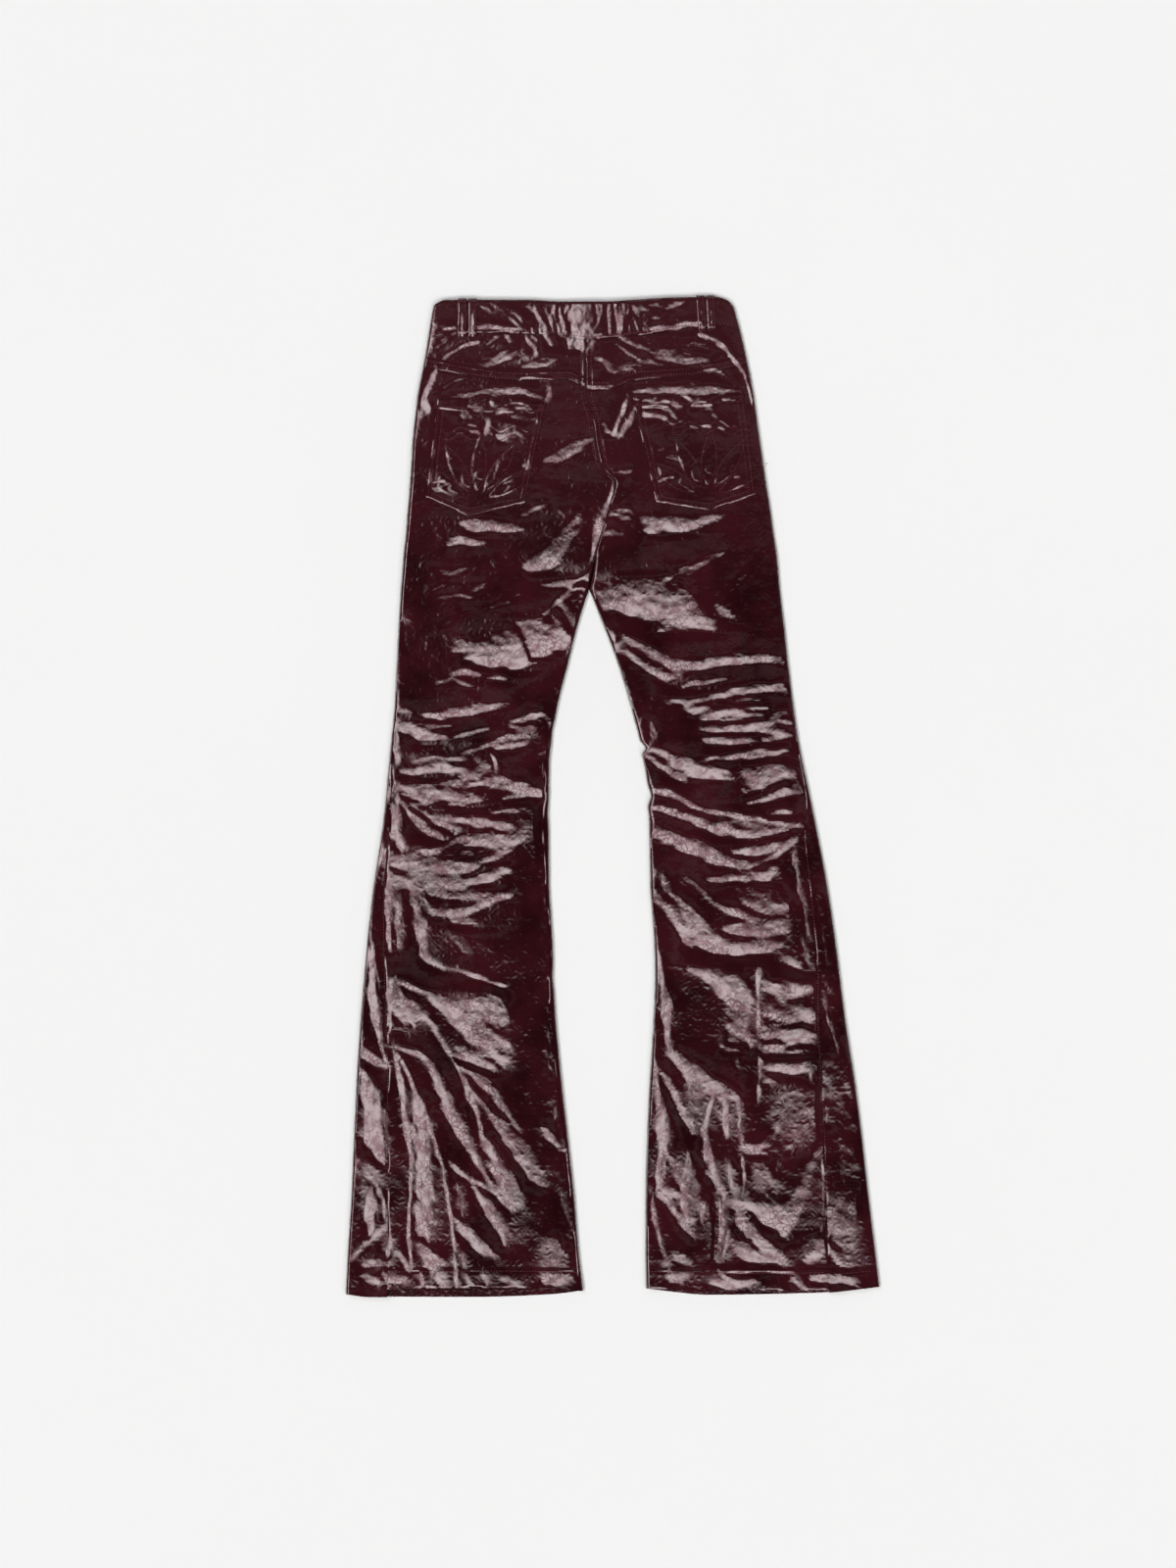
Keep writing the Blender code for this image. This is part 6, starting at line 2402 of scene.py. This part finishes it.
@dataclass
class PatchPockets(Maker):
    """Patch pockets with a doubled top hem and a raised, sewn fan of leaves under two waves.

    The leaves and waves are a plain motif of this piece's own.
    """

    areas = {Side.LEFT: 0.0142, Side.RIGHT: 0.0148}
    wide: float = 115.0
    tall: float = 122.0
    hem: float = 10.0
    insets: tuple[float, float] = (2.0, 7.0)
    lean: float = 0.06
    leaf_from: float = 16.0
    leaf_up: float = 12.0
    leaf_length: float = 62.0
    leaf_width: float = 8.5
    leaf_turns: tuple[float, ...] = (-58.0, -30.0, 0.0, 30.0, 58.0)
    waves: tuple[float, float] = (88.0, 96.0)
    puff: float = 0.4
    thread: Thread = Thread(2.8, 2.1, 0.6, 0.4)
    patches: tuple[Patch, ...] = (
        Patch(
            Side.LEFT,
            (Dot(-196, 445), Dot(-209, 335), Dot(-163, 314.5), Dot(-98.5, 329), Dot(-75, 440)),
        ),
        Patch(
            Side.RIGHT,
            (Dot(23, 447), Dot(49, 330), Dot(109, 320.5), Dot(160.5, 338), Dot(147, 451)),
        ),
    )

    def build(self) -> None:
        """The pockets and their stitches."""
        across, along = marks(self.wide, 1.15, 0.5, 0.5), marks(self.tall, 1.15, 0.5, 0.5)
        for patch in self.patches:

            def place(u: Array, v: Array) -> tuple[Array, Array, Array]:
                """Points of this pocket."""
                return self._surface(patch, u, v)

            self.leather(patch.name, PATCH_WALL, across, along, place)
            f"back_{patch.side.word}"
            self.stitches(patch.name, self._sewing(patch), self.thread)

    @staticmethod
    def _plan(patch: Patch, u: Array, v: Array) -> tuple[Array, Array]:
        """x and y of points across and up a pocket.

        Args:
            patch: which pocket.
            u: positions across, from 0 to 1.
            v: positions up, from 0 to 1.

        Returns:
            Both, in millimetres.
        """
        a, b, c, d, e = (np.array(corner) for corner in patch.corners)
        tip = (c[0] - b[0]) / (d[0] - b[0])
        near = np.clip(u / tip, 0, 1)[..., None]
        far = np.clip((u - tip) / (1 - tip), 0, 1)[..., None]
        low = b + near * (c - b) + far * (d - c)
        high = a + u[..., None] * (e - a)
        spot = low + v[..., None] * (high - low)
        return spot[..., 0], spot[..., 1]

    def _leaf(self, t: Array) -> Array:
        """Half width of a leaf along it."""
        return self.leaf_width * np.sin(math.pi * t**0.85) ** 0.9

    @staticmethod
    def _wave(x: Array) -> Array:
        """How far a wave is above its middle line."""
        return 3.5 * np.sin(2 * math.pi * x / 30)

    def _leaves(self) -> list[tuple[Array, Array]]:
        """Outlines of the leaves in the pocket's own millimetres, from its tip.

        Returns:
            x and y of each leaf's two sides.
        """
        t = np.linspace(0, 1, 60)
        half = self._leaf(t)
        along = self.leaf_from + t * self.leaf_length
        found = []
        for turn in self.leaf_turns:
            a = math.radians(turn)
            for aside in (-half, half):
                x = along * math.sin(a) + aside * math.cos(a)
                found.append((x, self.leaf_up + along * math.cos(a) - aside * math.sin(a)))
        return found

    def _relief(self, x: Array, y: Array) -> Array:
        """Height of the motif at points measured from the pocket's tip: leaves, then waves.

        Args:
            x: how far east of the tip they are.
            y: how far up from it.

        Returns:
            The heights.
        """
        height = np.zeros(np.shape(x))
        up = y - self.leaf_up
        for turn in self.leaf_turns:
            a = math.radians(turn)
            along = (x * math.sin(a) + up * math.cos(a) - self.leaf_from) / self.leaf_length
            aside = x * math.cos(a) - up * math.sin(a)
            half = self._leaf(np.clip(along, 0, 1))
            within = (along > 0) * (along < 1)
            inside = np.clip(1 - (aside / np.maximum(half, 0.5)) ** 2, 0, 1) * within
            height = np.maximum(height, self.puff * np.sqrt(inside))
            height -= 0.2 * dip(np.abs(aside) - half, 0.9) * within
        for base in self.waves:
            height -= 0.22 * dip(y - base - self._wave(x), 1.0)
        return height * (0.35 + 0.65 * self.cloth.roll(3 * x + 40, 3 * y))

    def _surface(self, patch: Patch, u: Array, v: Array) -> tuple[Array, Array, Array]:
        """Points of a pocket's outer face.

        Args:
            patch: which pocket.
            u: positions across.
            v: positions up.

        Returns:
            x, y and z.
        """
        x, y = self._plan(patch, u, v)
        up = y - patch.tip.y
        side = np.minimum(u, 1 - u) * self.wide
        end, hem = v * self.tall, (1 - v) * self.tall
        edge = np.minimum(side, end)
        motif = self._relief(x - patch.tip.x - self.lean * up, up) * ease((edge - 9) / 5)
        roll = self.cloth.roll(2 * x, 2 * y)
        z = self.cloth.top(x, y) + SEAM_GAP + PATCH_WALL + motif
        z += (0.15 + 0.4 * roll) * (1 - ease((hem - self.hem) / 2.4))
        for inset in self.insets:
            z -= (0.04 + 0.12 * roll) * dip(edge - inset, 0.8)
        z -= 0.15 * roll * dip(hem - self.hem + 1.5, 0.8)
        z -= 0.3 * roll * dip(np.minimum(side, hem), 0.8)
        return x, y, z - 0.8 * (0.3 + 0.7 * roll) * dip(end, 0.8)

    def _sewing(self, patch: Patch) -> list[Array]:
        """Paths of a pocket's stitches: two rows round its edges, its hem, bars and motif.

        Args:
            patch: which pocket.

        Returns:
            The paths.
        """
        paths = []
        for inset in self.insets:
            s, e = inset / self.wide, inset / self.tall
            paths += [
                (np.full(90, s), np.linspace(1 - s, e, 90)),
                (np.linspace(s, 1 - s, 90), np.full(90, e)),
                (np.full(90, 1 - s), np.linspace(e, 1 - s, 90)),
            ]
        paths.append((np.linspace(0.02, 0.98, 90), np.full(90, 1 - (self.hem - 1.5) / self.tall)))
        paths += [(np.full(12, bar), np.linspace(0.93, 0.995, 12)) for bar in (0.035, 0.965)]
        rows = [np.stack(self._surface(patch, *path), axis=1) for path in paths]
        wave = np.linspace(-44, 44, 80)
        waves = [(wave, base + self._wave(wave)) for base in self.waves]
        for across, up in self._leaves() + waves:
            x, y = across + patch.tip.x + self.lean * up, up + patch.tip.y
            z = self.cloth.top(x, y) + SEAM_GAP + PATCH_WALL + self._relief(across, up)
            rows.append(np.stack([x, y, z], axis=1))
        return rows


def metal_piece(name: str, shape: bmesh.types.BMesh, material: Material) -> Piece:
    """A finished rigid piece.

    Args:
        name: the piece's name.
        shape: its form in millimetres, used up.
        material: its metal.

    Returns:
        The piece.
    """
    bmesh.ops.scale(shape, vec=(METRES,) * 3, verts=shape.verts)
    mesh = bpy.data.meshes.new(name)
    shape.to_mesh(mesh)
    shape.free()
    piece = link(name, mesh)
    mesh.materials.append(material)
    finish_mesh(piece, 40.0)
    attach(piece, "root")
    return piece


def round_off(shape: bmesh.types.BMesh, edges: list, offset: float, segments: int) -> None:
    """Rounds some edges of a form.

    Args:
        shape: the form.
        edges: which edges.
        offset: how far from each edge it begins.
        segments: number of faces round it.
    """
    bmesh.ops.bevel(
        shape, geom=edges, offset=offset, segments=segments, profile=0.5,
        affect="EDGES", material=-1,
    )


class Block(NamedTuple):
    """A block of the slider: its size, how far down the zip, how far up, and its rounding."""

    size: tuple[float, float, float]
    down: float
    lift: float
    corner: float


@dataclass
class FlyZip(Maker):
    """The closed fly zip on the inner face of the fronts: tapes, teeth and slider."""

    width: float = 24.0
    low: float = 352.0
    high: float = 505.0
    tape: float = 0.9
    floor: float = WALL + SEAM_GAP
    middle: float = sum(CENTRE_FRONT) / 2
    tooth_pitch: float = 2.5
    tooth_reach: tuple[float, float] = (2.6, 0.6)
    tooth_lift: float = 1.5
    tooth: Thread = Thread(3.2, 3.4, 1.5, 1.2)
    slider: Block = Block((8.0, 10.0, 2.2), 9.0, 1.15, 0.8)
    bridge: Block = Block((2.6, 5.0, 0.9), 14.5, 1.95, 0.3)
    pull: Block = Block((5.0, 17.0, 0.7), 24.0, 1.8, 0.3)

    def build(self) -> None:
        """The tapes, the teeth and the slider, as three pieces."""
        tapes = self._tapes()
        teeth = self._teeth()
        [f"front_{side.word}" for side in Side]
        self._slider()

    def _tapes(self) -> Piece:
        """Both tapes as one sheet.

        Returns:
            The piece.
        """

        def place(u: Array, v: Array) -> tuple[Array, Array, Array]:
            """Points of the tapes.

            Args:
                u: positions across, from 0 to 1.
                v: positions up, from 0 to 1.

            Returns:
                x, y and z in millimetres.
            """
            x = self.middle + (u - 0.5) * self.width
            z = self.floor + self.tape + 0.35 * dip(x - self.middle, 3.0)
            return x, self.low + v * (self.high - self.low), z

        across, along = marks(self.width, 1.2), marks(self.high - self.low, 3.0)
        tapes = sheet_mesh("zip_tapes", across, along, place)
        thicken(tapes, self.tape, self.finishes[Finish.TAPE])
        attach(tapes, "root")
        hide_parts("zip")
        return tapes

    def _teeth(self) -> Piece:
        """The two rows of teeth, each half a pitch from the other.

        Returns:
            The piece.
        """
        count = int((self.high - self.low - 8) / self.tooth_pitch)
        y = self.low + 4 + np.arange(count) * self.tooth_pitch
        root, end = self.tooth_reach
        z = self.floor + self.tooth_lift
        rows = [
            np.array([[self.middle + hand * root, up, z], [self.middle - hand * end, up, z]])
            for hand, shift in ((-1, 0.0), (1, self.tooth_pitch / 2))
            for up in y + shift
        ]
        teeth = stitch_mesh("zip_teeth", rows, self.tooth, self.finishes[Finish.TEETH])
        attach(teeth, "root")
        LOG.info("zip: %d teeth", len(rows))
        return teeth

    def _slider(self) -> Piece:
        """The slider at the top of the teeth, its pull lying down the zip.

        Returns:
            The piece.
        """
        shape = bmesh.new()
        for block in (self.slider, self.bridge, self.pull):
            spot = (self.middle, self.high - block.down, self.floor + self.tape + block.lift)
            verts = bmesh.ops.create_cube(shape, size=1.0)["verts"]
            bmesh.ops.scale(shape, vec=block.size, verts=verts)
            bmesh.ops.translate(shape, vec=spot, verts=verts)
            edges = list({edge for vert in verts for edge in vert.link_edges})
            round_off(shape, edges, block.corner, 3)
        return metal_piece("zip_slider", shape, self.finishes[Finish.STEEL])


@dataclass
class WaistHook(Maker):
    """The flat hook and bar inside the waistband's front opening."""

    size: tuple[float, float, float] = (22.0, 14.0, 1.0)
    y: float = 538.0
    rivets: tuple[tuple[float, float], ...] = ((-7.5, 3.5), (-7.5, -3.5), (7.5, 0.0))
    rivet: float = 1.5

    def build(self) -> None:
        """The rounded plate with its three rivets."""
        thick = self.size[2]
        shape = bmesh.new()
        bmesh.ops.create_cube(shape, size=1.0)
        bmesh.ops.scale(shape, vec=self.size, verts=shape.verts)
        upright = [
            edge for edge in shape.edges if abs(edge.verts[0].co.z - edge.verts[1].co.z) > 0.5
        ]
        round_off(shape, upright, 3.0, 6)
        rim = [
            edge for edge in shape.edges
            if len({face.normal.z > 0.9 for face in edge.link_faces}) > 1
        ]
        round_off(shape, rim, 0.25, 2)
        for x, y in self.rivets:
            rivet = bmesh.ops.create_uvsphere(
                shape, u_segments=16, v_segments=8, radius=self.rivet
            )["verts"]
            bmesh.ops.scale(shape, vec=(1, 1, 0.35), verts=rivet)
            bmesh.ops.translate(shape, vec=(x, y, thick / 2), verts=rivet)
        spot = (CENTRE_FRONT[0], self.y, BAND_WALL + SEAM_GAP + thick / 2)
        bmesh.ops.translate(shape, vec=spot, verts=shape.verts)
        plate = metal_piece("hook_plate", shape, self.finishes[Finish.STEEL])
        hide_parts("waist_hook")
        LOG.info("hook plate: %d faces", len(plate.data.polygons))


@dataclass
class Studio(Maker):
    """The pale floor, the studio's light and the camera straight above."""

    centre: tuple[float, float] = (-0.0275, 0.0132)
    frame_height: float = 1.76
    distance: float = 8.0
    cloth_level: float = 0.012
    floor_size: float = 40.0
    floor_depth: float = 0.0002
    light: Colour = (1.0, 0.995, 0.99, 1.0)
    panel: float = 7.1
    panel_starts: tuple[float, float] = (0.055, 0.30)
    panel_ends: tuple[float, float] = (0.38, 0.54)
    panel_sides: tuple[float, float] = (-0.50, -0.35)
    dark: float = 0.022
    faint: float = 0.16
    wall: float = 0.12
    horizon: float = 0.92

    def build(self) -> None:
        """Makes all three."""
        self._floor()
        self._light()
        self._camera()

    def _floor(self) -> None:
        """A wide pale plane just under the garment."""
        plane = bmesh.new()
        bmesh.ops.create_grid(plane, x_segments=1, y_segments=1, size=self.floor_size / 2)
        bmesh.ops.translate(plane, vec=(0, 0, -self.floor_depth), verts=plane.verts)
        mesh = bpy.data.meshes.new("floor")
        plane.to_mesh(mesh)
        plane.free()
        mesh.materials.append(self.finishes[Finish.FLOOR])
        link("floor", mesh)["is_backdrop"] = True

    def _light(self) -> None:
        """Bright panels to the south and the west of a dark ceiling, and pale walls far off."""
        world = bpy.data.worlds.new("studio")
        bpy.context.scene.world = world
        world.use_nodes = True
        tree = world.node_tree
        around = node(tree, "SeparateXYZ", Vector=node(tree, "TexCoord").outputs["Generated"])
        x, y, z = around.outputs

        def both(first: object, second: object) -> Socket:
            """The product of two values."""
            return maths(tree, "MULTIPLY", first, second)

        west, south = both(x, -1.0), both(y, -1.0)
        lit = []
        for toward, other in ((west, south), (south, west)):
            begins = ramp(tree, toward, *self.panel_starts, 0.0, 1.0)
            ends = ramp(tree, toward, *self.panel_ends, 1.0, 0.0)
            near = ramp(tree, other, *self.panel_sides, 0.0, 1.0)
            far = ramp(tree, other, *self.panel_ends, 1.0, 0.0)
            lit.append(both(both(begins, ends), both(near, far)))
        panels = both(maths(tree, "MAXIMUM", *lit), self.panel)
        north = ramp(tree, y, 0.045, 0.11, 0.0, self.faint)
        faint = both(north, ramp(tree, y, 0.16, 0.28, 1.0, 0.0))
        aside = maths(tree, "ADD", ramp(tree, z, 0.5, 0.9, self.wall, self.dark), faint)
        far = ramp(tree, z, 0.06, 0.30, self.horizon, 0.0)
        glow = maths(tree, "MAXIMUM", far, maths(tree, "MAXIMUM", aside, panels))
        lamp = tree.nodes["Background"]
        feed(tree, lamp.inputs["Color"], self.light)
        feed(tree, lamp.inputs["Strength"], glow)
        bpy.context.scene.view_settings.view_transform = "Standard"

    def _camera(self) -> None:
        """A long lens straight above the garment."""
        lens = bpy.data.cameras.new("camera")
        lens.sensor_fit = "VERTICAL"
        lens.sensor_height = 32.0
        lens.lens = lens.sensor_height * self.distance / self.frame_height
        lens.clip_end = 100.0
        camera = bpy.data.objects.new("camera", lens)
        camera.location = (*self.centre, self.distance + self.cloth_level)
        bpy.context.scene.collection.objects.link(camera)
        bpy.context.scene.camera = camera


ASSEMBLIES = (
    BackLegs, FrontLegs, Yokes, Waistband, BeltLoops, PatchPockets, FlyZip, WaistHook, Studio,
)


def corners() -> list[list[float]]:
    """The object's lowest and highest corners as plain numbers."""
    return [[round(float(value), 6) for value in corner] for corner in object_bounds()]


def main() -> None:
    """Builds and dresses the garment in order."""
    logging.basicConfig(level=logging.INFO, format="%(message)s")
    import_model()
    finishes, cloth = Finishes(), Cloth()
    height = cloth.creases.height
    LOG.info("creases from %.2f to %.2f mm", height.min(), height.max())
    for assembly in ASSEMBLIES:
        assembly(cloth, finishes).build()


if __name__ == "__main__":
    main()
